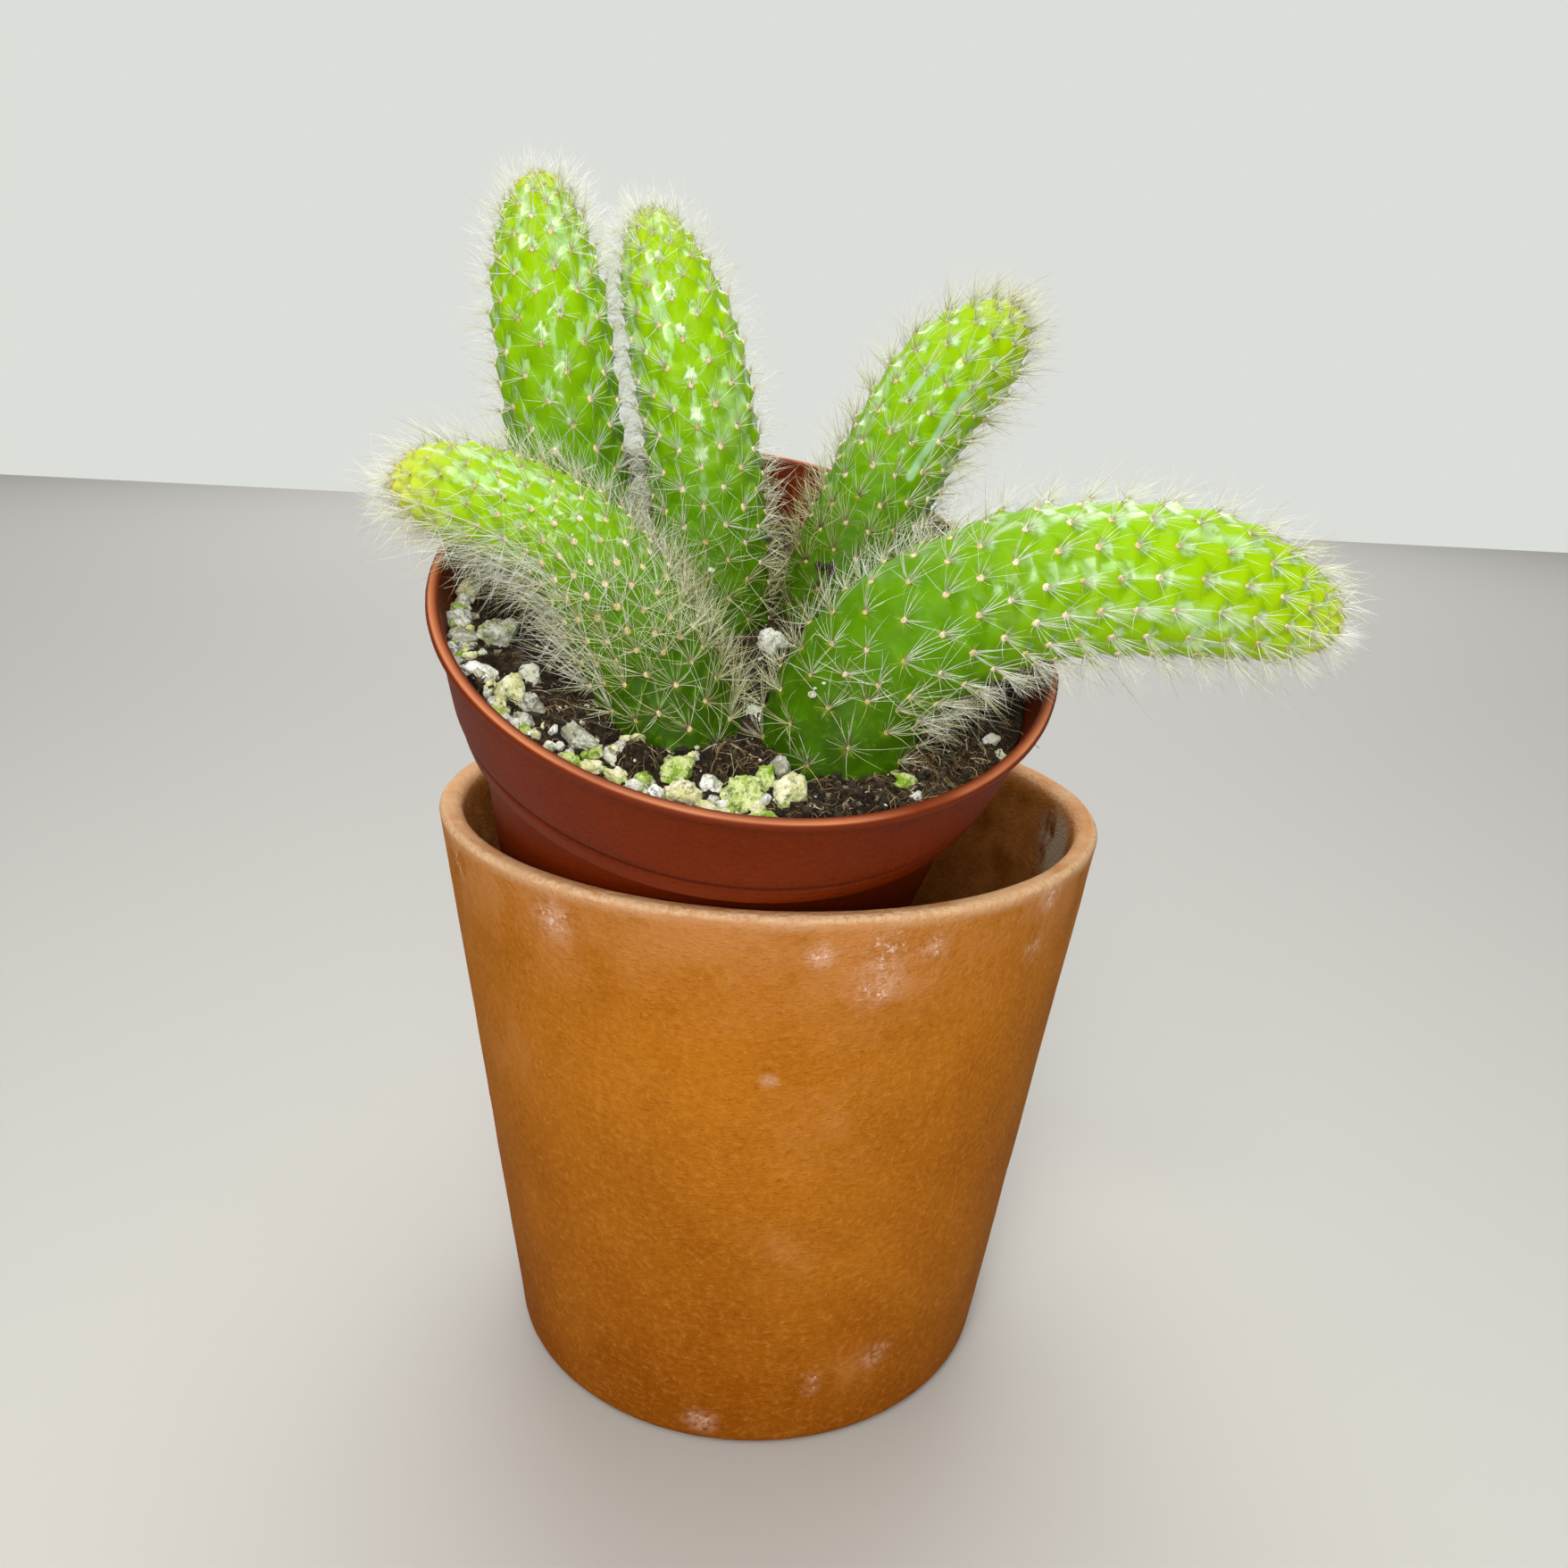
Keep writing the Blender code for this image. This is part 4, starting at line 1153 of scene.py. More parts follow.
@dataclass(frozen=True)
class Soil:
    """The root ball of peat, and the crumbs, fibres and grains that lie on it.

    Lumps are round hills: place, height and reach. Clods are half ellipsoids: place, two reaches
    and the rise. Crowds say how many bits are drawn round a centre, and how far they spread. All
    three are in millimetres and in the pot's own frame.
    """

    pot: NurseryPot
    level: float = -8.2 * MM
    slope: float = -0.11
    ripple: float = 0.5 * MM
    wave: tuple[float, float] = (4.1 * MM, 5.3 * MM)
    wave_start: float = 1.3
    gap: float = 0.3 * MM
    clumps: Noise = (0.7 * MM, 3.2 * MM, 40, 3)
    grit: Noise = (0.4 * MM, 1.1 * MM, 50, 2)
    bed_steps: int = 300
    bed_rows: int = 76
    lumps: tuple[tuple[float, float, float, float], ...] = (
        (-14.5, -43.5, 2.6, 4.2), (-1.0, -40.5, 2.6, 4.6), (-41.5, -30.5, 1.8, 3.2),
        (20, -42, 1.0, 6.0), (33, -20, 1.6, 9.0), (0, 38, 1.4, 10.0), (-45, 2, 1.0, 6.0))
    clods: tuple[tuple[float, float, float, float, float], ...] = (
        (-14.5, -43.5, 4.8, 3.0, 2.4), (-1.0, -40.5, 5.0, 3.0, 2.4),
        (-41.5, -30.5, 3.0, 3.4, 2.4), (-43, -21.5, 2.6, 3.0, 1.4), (12.5, -49, 4.0, 2.4, 1.8),
        (22, -44, 4.4, 2.8, 1.6), (30, -33, 4.0, 3.0, 1.6), (38, -22, 3.0, 3.6, 1.8),
        (33, -40, 3.0, 2.4, 1.4))
    crumb_seed: int = 61
    crumb_crowds: tuple[Crowd, ...] = (
        (1500, (0, -14), 32), (1300, (24, -38), 14), (500, (-34, -26), 13))
    grain_seed: int = 67
    grain_crowds: tuple[Crowd, ...] = (
        (120, (0, -14), 32), (70, (26, -38), 14), (90, (-20, -38), 14))
    fibre_seed: int = 71
    fibre_rows: int = 6
    fibre_crowds: tuple[Crowd, ...] = (
        (520, (0, -14), 32), (620, (30, -32), 13), (260, (12, -44), 8), (240, (-30, -36), 8),
        (60, (-14.5, -43.5), 3), (60, (-1, -40.5), 3.2), (420, (32, -34), 7))

    def height(self, x: Array, y: Array) -> Array:
        """Height of the surface: a slope, a ripple of two waves and the lumps.

        A lump's share falls from its middle with exp of minus the distance squared over the reach
        squared.

        Args:
            x: First places, in the pot's own frame.
            y: Second places.

        Returns:
            One height a place.
        """
        wave = np.sin(x / self.wave[0] + self.wave_start) * np.cos(y / self.wave[1])
        height = self.level + self.slope * y + self.ripple * wave
        for lump_x, lump_y, lump_height, reach in self.lumps:
            distance = (x - lump_x * MM) ** 2 + (y - lump_y * MM) ** 2
            height = height + lump_height * MM * np.exp(-distance / (reach * MM) ** 2)
        return height

    def rough_height(self, x: Array, y: Array) -> Array:
        """Height of the surface with its clods, and with the noises of clumps and grit.

        Args:
            x: First places, in the pot's own frame.
            y: Second places.

        Returns:
            One height a place.
        """
        flat = np.stack([x, y, 0 * x], axis=-1)
        height = self.height(x, y) + uneven(flat, self.clumps)
        for clod_x, clod_y, reach_x, reach_y, rise in self.clods:
            share = ((x / MM - clod_x) / reach_x) ** 2 + ((y / MM - clod_y) / reach_y) ** 2
            height = height + rise * MM * np.sqrt(np.clip(1 - share, 0, 1))
        return height + uneven(flat, self.grit)

    def _bed(self) -> None:
        """The closed root ball: rings that follow the surface, then the wall and the floor."""
        angle = np.arange(self.bed_steps) * FULL_TURN / self.bed_steps
        share = np.linspace(0, 1, self.bed_rows + 1)[1:, None]
        near_wall = 0.95 * self.pot.body_radius
        edge_height = self.height(near_wall * np.cos(angle), near_wall * np.sin(angle))
        edge = self.pot.inner_radius(edge_height) - self.gap
        x, y = share * edge * np.cos(angle), share * edge * np.sin(angle)
        top = np.stack([x, y, self.rough_height(x, y)], axis=-1)
        wall = []
        for radius, height in self.pot.inner_profile()[2::-1]:
            ring = np.stack([np.cos(angle), np.sin(angle), 0 * angle], axis=-1)
            ring = ring * (radius - self.gap)
            ring[:, 2] = height + self.gap
            wall.append(ring)
        rings = np.concatenate([top, np.array(wall)])[::-1]
        floor = np.array([[0, 0, self.pot.wall - self.pot.height + self.gap]])
        crown = np.array([[0, 0, float(self.rough_height(np.zeros(1), np.zeros(1))[0])]])
        points, quads, triangles = tubes(rings[None], floor, crown)
        piece = Piece("soil_bed", "peat")
        piece.add(self.pot.place(points), quads, triangles)
        piece.build(PeatFinish().make(), "soil")

    def scatter(self, chance: np.random.Generator, crowds: tuple[Crowd, ...]) -> Array:
        """Places on the surface, crowded round centres.

        Args:
            chance: The source of random numbers.
            crowds: Number, centre and spread of each crowd. Places beyond the wall are left out.

        Returns:
            Points in the pot's own frame.
        """
        parts = []
        for count, centre, reach in crowds:
            flat = np.array(centre) * MM + chance.normal(size=(count, 2)) * reach * MM
            height = self.rough_height(flat[:, 0], flat[:, 1])
            held = np.hypot(flat[:, 0], flat[:, 1]) < self.pot.inner_radius(height) - 0.8 * MM
            parts.append(np.column_stack([flat, height])[held])
        return np.vstack(parts)

    def _crumbs(self, finish: Material) -> None:
        """Angular crumbs of peat: small cubes with their corners moved at random.

        Args:
            finish: The finish of the crumbs.
        """
        chance = np.random.default_rng(self.crumb_seed)
        spots = self.scatter(chance, self.crumb_crowds)
        corners, quads = ball(1)
        size = chance.gamma(3.0, 0.19, (len(spots), 1, 1)).clip(0.22, 1.15) * MM
        shape = corners[None] * (1 + 0.45 * chance.uniform(-1, 1, (len(spots),) + corners.shape))
        points = spots[:, None] + shape * size * chance.uniform(0.6, 1.2, (len(spots), 1, 3))
        tone = np.repeat(np.clip(chance.normal(0.28, 0.2, len(spots)), 0, 1), len(corners))
        points, quads = copies(points, quads)
        piece = Piece("soil_crumbs", "peat")
        piece.add(self.pot.place(points), quads, tone=tone)
        piece.build(finish, smooth=False)

    def _grains(self, finish: Material) -> None:
        """Small pale grains of pumice between the crumbs: balls with their points moved.

        Args:
            finish: The finish of the grains.
        """
        chance = np.random.default_rng(self.grain_seed)
        spots = self.scatter(chance, self.grain_crowds)
        corners, quads = ball(2)
        size = chance.gamma(2.2, 0.1, (len(spots), 1, 1)).clip(0.08, 0.45) * MM
        shape = corners[None] * (1 + 0.4 * chance.uniform(-1, 1, (len(spots),) + corners.shape))
        points = spots[:, None] + shape * size + np.array([0, 0, 0.2 * MM])
        points, quads = copies(points, quads)
        piece = Piece("pumice_grains", "pumice_white")
        piece.add(self.pot.place(points), quads, pit=0.0)
        piece.build(finish)

    def _fibres(self) -> None:
        """Peat fibres that lie on the surface.

        Each is an arc of a few millimetres, and its height at each of its points is that of the
        surface there, plus a little that rises towards its middle.
        """
        chance = np.random.default_rng(self.fibre_seed)
        spots = self.scatter(chance, self.fibre_crowds)
        count = len(spots)
        heading = chance.uniform(0, FULL_TURN, (count, 1))
        length = chance.gamma(4.0, 0.75, (count, 1)) * MM
        share = np.linspace(-0.5, 0.5, self.fibre_rows)
        bearing = heading + chance.normal(0, 1.6, (count, 1)) * share
        x = spots[:, :1] + length * share * np.cos(bearing)
        y = spots[:, 1:2] + length * share * np.sin(bearing)
        arch = chance.uniform(0.05, 0.9, (count, 1)) * (1 - (2 * share) ** 2)
        z = self.rough_height(x, y) + (0.1 + arch) * MM * chance.uniform(0.3, 1.3, (count, 1))
        lines = np.stack([x, y, z], axis=-1)
        taper = np.linspace(1, 0.6, self.fibre_rows - 1)
        radii = chance.uniform(0.04, 0.11, (count, 1)) * MM * taper
        points, quads, triangles = hair_tubes(self.pot.place(lines), radii)
        tone = np.clip(chance.normal(0.55, 0.25, count), 0, 1)
        piece = Piece("peat_fibres", "peat")
        piece.add(points, quads, triangles, tone=np.repeat(tone, len(points) // count))
        piece.build(ToneFinish("peat_fibre", FIBRE_STOPS, 0.85).make())

    def build(self, white: Material) -> Material:
        """Makes the root ball and what lies on it.

        Args:
            white: The finish of the white stones, for the pale grains.

        Returns:
            The finish of the crumbs.
        """
        self._bed()
        crumb = ToneFinish("peat_crumbs", CRUMB_STOPS, 0.95).make()
        self._crumbs(crumb)
        self._grains(white)
        self._fibres()
        return crumb


# Stones


@dataclass(frozen=True)
class Stone:
    """One stone: its place on the soil, its length, width and height in mm, and its turn."""

    tint: Tint
    x: float
    y: float
    size: Vector
    turn: float = 0.0


@dataclass(frozen=True)
class Stones:
    """The pumice stones, bedded in the soil, and the gravel between them.

    The rise is how far a stone's centre lies over the soil, as a share of its height. The bearings
    are the part of the rim that the gravel lies along, in degrees.
    """

    soil: Soil
    rise: float = 0.2
    scale: float = 1.22
    cells: int = 11
    planes: int = 11
    gravel: tuple[tuple[Tint, int], ...] = (
        (Tint.WHITE, 40), (Tint.CREAM, 44), (Tint.GREY, 20), (Tint.GREEN, 36))
    gravel_seed: int = 300
    gravel_bearings: tuple[float, float] = (-178, -82)
    gravel_size: tuple[float, float] = (0.45, 1.25)
    gravel_cells: int = 4
    gravel_planes: int = 7
    stones: tuple[Stone, ...] = (
        Stone(Tint.CREAM, -49.6, -1.2, (3.8, 4.4, 3.4), 10),
        Stone(Tint.WHITE, -49.4, -9.2, (3.9, 3.8, 3.2)),
        Stone(Tint.GREY, -47.2, -14.4, (5.2, 2.8, 2.4), -20),
        Stone(Tint.GREY, -41.8, -13.4, (4.2, 5.4, 4.0), -25),
        Stone(Tint.WHITE, -48.2, -18.6, (2.2, 2.2, 1.8)),
        Stone(Tint.WHITE, -46.8, -22.2, (2.1, 2.3, 1.8), 40),
        Stone(Tint.WHITE, -42.4, -25.4, (5.4, 2.6, 2.8), -15),
        Stone(Tint.CREAM, -36.4, -29.6, (4.4, 5.8, 4.4), 10),
        Stone(Tint.GREY, -34.2, -24.0, (2.8, 4.0, 3.0), 10),
        Stone(Tint.GREY, -32.2, -32.0, (3.4, 3.4, 3.0)),
        Stone(Tint.GREEN, -36.8, -34.6, (2.8, 2.2, 2.0), 30),
        Stone(Tint.GREY, -32.4, -36.0, (2.8, 2.6, 2.4)),
        Stone(Tint.WHITE, -30.2, -39.6, (2.0, 1.8, 1.6)),
        Stone(Tint.GREY, -23.6, -38.2, (5.4, 2.8, 2.6), -35),
        Stone(Tint.GREEN, -24.4, -44.0, (3.5, 2.2, 2.0), -20),
        Stone(Tint.CREAM, -20.4, -45.6, (3.2, 2.4, 2.0), -20),
        Stone(Tint.GREEN, -20.6, -42.4, (2.4, 2.2, 2.2)),
        Stone(Tint.CREAM, -16.8, -47.6, (2.8, 2.0, 1.8), -20),
        Stone(Tint.WHITE, -13.8, -49.2, (2.2, 1.8, 1.6)),
        Stone(Tint.GREEN, -8.4, -44.2, (5.6, 4.4, 3.6), 25),
        Stone(Tint.CREAM, -5.6, -40.4, (2.6, 2.2, 2.0)),
        Stone(Tint.WHITE, -10.6, -49.8, (2.4, 2.2, 2.0)),
        Stone(Tint.CREAM, -6.4, -49.0, (4.4, 3.6, 3.4), 15),
        Stone(Tint.WHITE, -2.9, -46.2, (2.9, 2.8, 2.6)),
        Stone(Tint.GREEN, 2.4, -46.6, (7.2, 4.6, 3.8), 20),
        Stone(Tint.GREEN, 5.4, -42.4, (2.6, 3.4, 3.4), -10),
        Stone(Tint.GREY, 7.4, -38.8, (3.6, 3.8, 3.2), -30),
        Stone(Tint.CREAM, 9.0, -45.4, (5.2, 4.8, 4.2), 35),
        Stone(Tint.CREAM, -2.9, -50.6, (3.2, 1.8, 1.8), -5),
        Stone(Tint.CREAM, 0.4, -51.0, (2.4, 1.6, 1.6), 5),
        Stone(Tint.GREEN, 5.4, -50.6, (3.4, 2.0, 1.9), 5),
        Stone(Tint.WHITE, 4.0, -24.6, (4.2, 2.6, 2.4), -25),
        Stone(Tint.WHITE, 4.6, -1.6, (4.0, 4.2, 4.0), 20),
        Stone(Tint.GREEN, 27.4, -36.6, (2.6, 2.4, 2.0)),
        Stone(Tint.WHITE, 29.2, -40.2, (1.8, 1.6, 1.5)),
        Stone(Tint.WHITE, 42.6, -21.6, (2.8, 1.8, 1.7), 35),
        Stone(Tint.WHITE, 44.2, -25.4, (1.6, 2.0, 1.6)),
        Stone(Tint.CREAM, 37.0, 6.0, (3.6, 3.0, 2.6), 50),
        Stone(Tint.GREY, 41.0, 18.0, (4.0, 3.2, 3.0), 15),
        Stone(Tint.WHITE, 30.0, 34.0, (3.4, 3.0, 2.8), 80),
        Stone(Tint.CREAM, -1.0, 44.0, (4.2, 3.4, 3.0), 25),
        Stone(Tint.GREY, -16.0, 40.0, (3.4, 2.8, 2.6), -30),
        Stone(Tint.WHITE, -46.0, 14.0, (3.0, 2.6, 2.4), 60),
    )

    def _shape(self, directions: Array, seed: int) -> tuple[Array, Array]:
        """Form of one stone.

        A handful of planes at random distances from the centre bound it. Layered noise makes it
        lumpy, and it is cracked where another noise crosses zero.

        Args:
            directions: Directions of the stone's points from its centre.
            seed: Picks the stone's form.

        Returns:
            Radius in each direction, and how deep it is in a crack, from 0 to 1.
        """
        chance = np.random.default_rng(seed)
        planes = unit(chance.normal(size=(self.planes, 3)))
        radius = planed(directions @ planes.T, chance.uniform(0.66, 1.0, self.planes), 1.12)
        offset = directions + 9.0 * seed
        lumps = (0.2 * layered_noise(offset, 0.7, seed)
                 + 0.1 * layered_noise(offset, 0.26, seed + 9, 2))
        ridge = np.abs(lattice_noise(offset, 0.55, seed + 17))
        pits = (1 - ease(0.0, 0.12, ridge)) * ease(-0.2, 0.4, lattice_noise(offset, 0.8, seed + 23))
        return radius * (1 + lumps - 0.16 * pits), pits

    def build(self, finishes: dict[Tint, Material]) -> None:
        """Makes each stone in the place of its solid, and the gravel.

        Args:
            finishes: The finish of each tint.
        """
        directions, quads = ball(self.cells)
        for number, stone in enumerate(self.stones, start=1):
            half = np.array(stone.size) / 2 * MM * self.scale
            radius, pits = self._shape(directions, number)
            points = directions * radius[:, None] * half
            angle = math.radians(stone.turn)
            turn = np.array([[math.cos(angle), -math.sin(angle), 0],
                             [math.sin(angle), math.cos(angle), 0], [0, 0, 1]])
            x, y = stone.x * MM, stone.y * MM
            height = float(self.soil.height(x, y)) + self.rise * stone.size[2] * MM
            tint = stone.tint.name.lower()
            piece = Piece(f"rock_{number:02d}_{tint}", "pumice_" + tint)
            points = points @ turn.T + np.array([x, y, height])
            piece.add(self.soil.pot.place(points), quads, pit=pits)
            piece.build(finishes[stone.tint], f"stone_{number:02d}_{tint}")
        for tint, count in self.gravel:
            self._gravel(tint, count, finishes[tint])

    def _gravel(self, tint: Tint, count: int, finish: Material) -> None:
        """Small pebbles between the stones, most of them along the low side of the rim.

        Each is a ball cut by random planes and roughened by layered noise.

        Args:
            tint: The colour of the pebbles.
            count: How many there are.
            finish: The finish of that tint.
        """
        chance = np.random.default_rng(self.gravel_seed + count)
        bearing = np.radians(chance.uniform(*self.gravel_bearings, count))
        inner = self.soil.pot.inner_radius(np.full(count, -4 * MM))
        inner = inner - chance.gamma(2.0, 1.1, count) * MM
        size = chance.uniform(*self.gravel_size, count) * MM
        inner = inner - size
        x, y = inner * np.cos(bearing), inner * np.sin(bearing)
        middle = np.column_stack([x, y, self.soil.rough_height(x, y) + 0.25 * size])
        directions, quads = ball(self.gravel_cells)
        planes = unit(chance.normal(size=(count, self.gravel_planes, 3)))
        reach = chance.uniform(0.55, 1.0, (count, 1, self.gravel_planes))
        radius = planed(np.einsum("nk,cpk->cnp", directions, planes), reach, 1.1)
        offset = directions + 7.0 * np.arange(count)[:, None, None]
        radius = radius * (1 + 0.3 * layered_noise(offset, 0.8, self.gravel_seed + 10))
        shape = chance.uniform(0.75, 1.2, (count, 1, 3)) * size[:, None, None]
        points, quads = copies(directions * radius[..., None] * shape + middle[:, None], quads)
        pits = ease(0.2, 0.6, lattice_noise(offset, 0.5, self.gravel_seed + 17)).ravel()
        piece = Piece("gravel_" + tint.name.lower(), "pumice_" + tint.name.lower())
        piece.add(self.soil.pot.place(points), quads, pit=pits)
        piece.build(finish)


# Litter


@dataclass(frozen=True)
class Litter:
    """Bits that lie on the stems and the soil: a dry crumb, white flakes and a leaf scrap.

    The crumb's middle and the flakes' places and sizes are in millimetres in the upright frame, and
    the leaf's place is in the pot's own.
    """

    crumb: Vector = (8.6, -19.6, 169.3)
    crumb_bits: int = 16
    crumb_spread: Vector = (1.1, 0.4, 0.7)
    flakes: tuple[tuple[float, float, float, float], ...] = (
        (-12.4, -28.2, 169.1, 0.5), (5.6, -62.4, 155.2, 0.6), (7.3, -62.9, 157.2, 0.25),
        (6.0, -62.3, 156.2, 0.22))
    flake_shape: Vector = (1.2, 0.6, 0.8)
    leaf: tuple[float, float] = (26.0, -35.2)
    leaf_size: Vector = (1.0, 0.7, 0.15)
    seed: int = 83

    def _bits(self, chance: np.random.Generator, middles: Array,
              sizes: Array) -> tuple[Array, Array]:
        """Rough small lumps: balls whose points are pushed in and out at random.

        Args:
            chance: The source of random numbers.
            middles: Centres of shape (n, 3), in millimetres.
            sizes: Half lengths along the three axes, of shape (n, 3), in millimetres.

        Returns:
            Points and quads.
        """
        corners, quads = ball(3)
        push = 1 + 0.3 * chance.uniform(-1, 1, (len(middles), len(corners), 1))
        return copies((middles * MM)[:, None] + corners * push * (sizes * MM)[:, None], quads)

    def build(self, soil: Soil, dark: Material, white: Material) -> None:
        """Makes the crumb, the flakes and the leaf scrap.

        Args:
            soil: The soil that the leaf lies on.
            dark: The finish of the crumb.
            white: The finish of the flakes.
        """
        chance = np.random.default_rng(self.seed)
        shape = (self.crumb_bits, 3)
        middles = np.array(self.crumb) + chance.normal(size=shape) * np.array(self.crumb_spread)
        points, quads = self._bits(chance, middles, chance.uniform(0.25, 0.65, shape))
        piece = Piece("dry_crumb", "peat")
        piece.add(points, quads, tone=0.2)
        piece.build(dark, smooth=False)
        flakes = np.array(self.flakes)
        sizes = flakes[:, 3:] * np.array(self.flake_shape)
        points, quads = self._bits(chance, flakes[:, :3], sizes)
        piece = Piece("white_flakes", "pumice_white")
        piece.add(points, quads, pit=0.0)
        piece.build(white, smooth=False)
        x, y = (part * MM for part in self.leaf)
        corners, quads = ball(4)
        middle = np.array([x, y, float(soil.rough_height(x, y)) + 0.5 * MM])
        piece = Piece("leaf_scrap", "peat")
        piece.add(soil.pot.place(corners * np.array(self.leaf_size) * MM + middle), quads, tone=0.5)
        piece.build(ToneFinish("leaf", LEAF_STOPS, 0.6).make())


# Stems


@dataclass(frozen=True)
class Fur:
    """How a stem's areoles are haired. Counts are for one areole, and lengths are in millimetres.

    Rays are short and lie nearly flat. Bristles are longer and stand up. The comb, from 0 to 1,
    turns them towards the tip. The tone, from 0 to 1, runs from tan through straw to white.
    Thinning is the share of the areoles at the tip that stay bare, and the crown is what the others
    there have more. Silk is the direction that the stem's silky side faces, whose hairs are longer
    by the silk's growth. The ruff is the direction that a side with more stiff bristles faces. By
    the soil more hairs make a tangle, and all are duller by the dulling.
    """

    rays: int
    bristles: int
    ray_length: tuple[float, float]
    bristle_length: tuple[float, float]
    tone: float
    comb: float = 0.3
    tip_growth: float = 1.0
    crown: int = 3
    thinning: float = 0.0
    silk: Vector = (0.0, 0.0, 0.0)
    silk_growth: float = 0.0
    silk_count: int = 0
    silk_length: float = 11.0
    silk_lean: tuple[float, float] = (35, 78)
    tangle: int = 6
    dulling: float = 0.4
    ruff: Vector = (0.0, 0.0, 0.0)
    ruff_count: int = 0


@dataclass(frozen=True)
class Tuft:
    """The hairs of one kind on an areole.

    Tilt is the least and greatest lean from the skin's outward direction, and spread is that of the
    bearing round the direction to the tip, both in degrees. Curl is the size of the bend as a share
    of the length. Rows are the places along a hair, and thickness is its radius at the root.
    """

    count: int
    tilt: tuple[float, float]
    spread: float
    curl: float
    rows: int
    thickness: float = 0.05 * MM


@dataclass(frozen=True)
class Hollow:
    """What keeps hairs in: the other stems, the soil, the nursery pot and the solids' box.

    Bodies are the stems' plain forms by name, centre line and radii. The reach is how far hairs may
    pass the box, as a share of its sides. Margins are the least distances from stem, soil and wall.
    """

    pot: NurseryPot
    soil: Soil
    bodies: tuple[tuple[str, Array, Array], ...]
    reach: float = 0.005
    body_margin: float = 0.1 * MM
    margin: float = 0.3 * MM
    wall_reach: float = 4 * MM
    wall_depth: float = 30 * MM
    greatest_radius: float = 14 * MM
    spare: float = 0.12
    least_share: float = 0.2

    def free_share(self, owner: str, lines: Array, shares: Array) -> Array:
        """The share of each hair that stays clear: that of its first hit, less a spare.

        Args:
            owner: Name of the stem that the hairs grow on.
            lines: Points along the hairs, of shape (hairs, rows, 3).
            shares: Share of the length at each row.

        Returns:
            One share a hair.
        """
        hit = np.zeros(lines.shape[:2], bool)
        for name, path, radii in self.bodies:
            if name == owner:
                continue
            box_low = path.min(axis=0) - self.greatest_radius
            box_high = path.max(axis=0) + self.greatest_radius
            close = ((lines > box_low) & (lines < box_high)).all(axis=-1)
            spots = lines[close]
            away = np.linalg.norm(spots[:, None] - path[None], axis=-1) - radii
            hit[close] |= away.min(axis=1) < self.body_margin
        x, y, height = np.moveaxis(self.pot.unplace(lines), -1, 0)
        radius = np.hypot(x, y)
        inner = self.pot.inner_radius(height)
        below = (radius < inner) & (height < self.soil.height(x, y) + self.margin)
        in_wall = ((height < self.margin) & (height > -self.wall_depth)
                   & (radius > inner - self.margin) & (radius < inner + self.wall_reach))
        low, high = (np.array(corner) for corner in CAD_BOX)
        over = self.reach * (high - low)
        outside = ((lines < low - over) | (lines > high + over)).any(axis=-1)
        hit |= below | in_wall | outside
        first = np.where(hit.any(axis=1), hit.argmax(axis=1), len(shares) - 1)
        free = np.where(hit.any(axis=1), shares[first] - self.spare, 1.0)
        return np.clip(free, self.least_share, 1.0)


WOOL_SEED = 100
HAIR_SEED = 200
# Seed of the streaks of painted highlight and gloss on the skin.
HIGHLIGHT_STREAK_SEED = 403


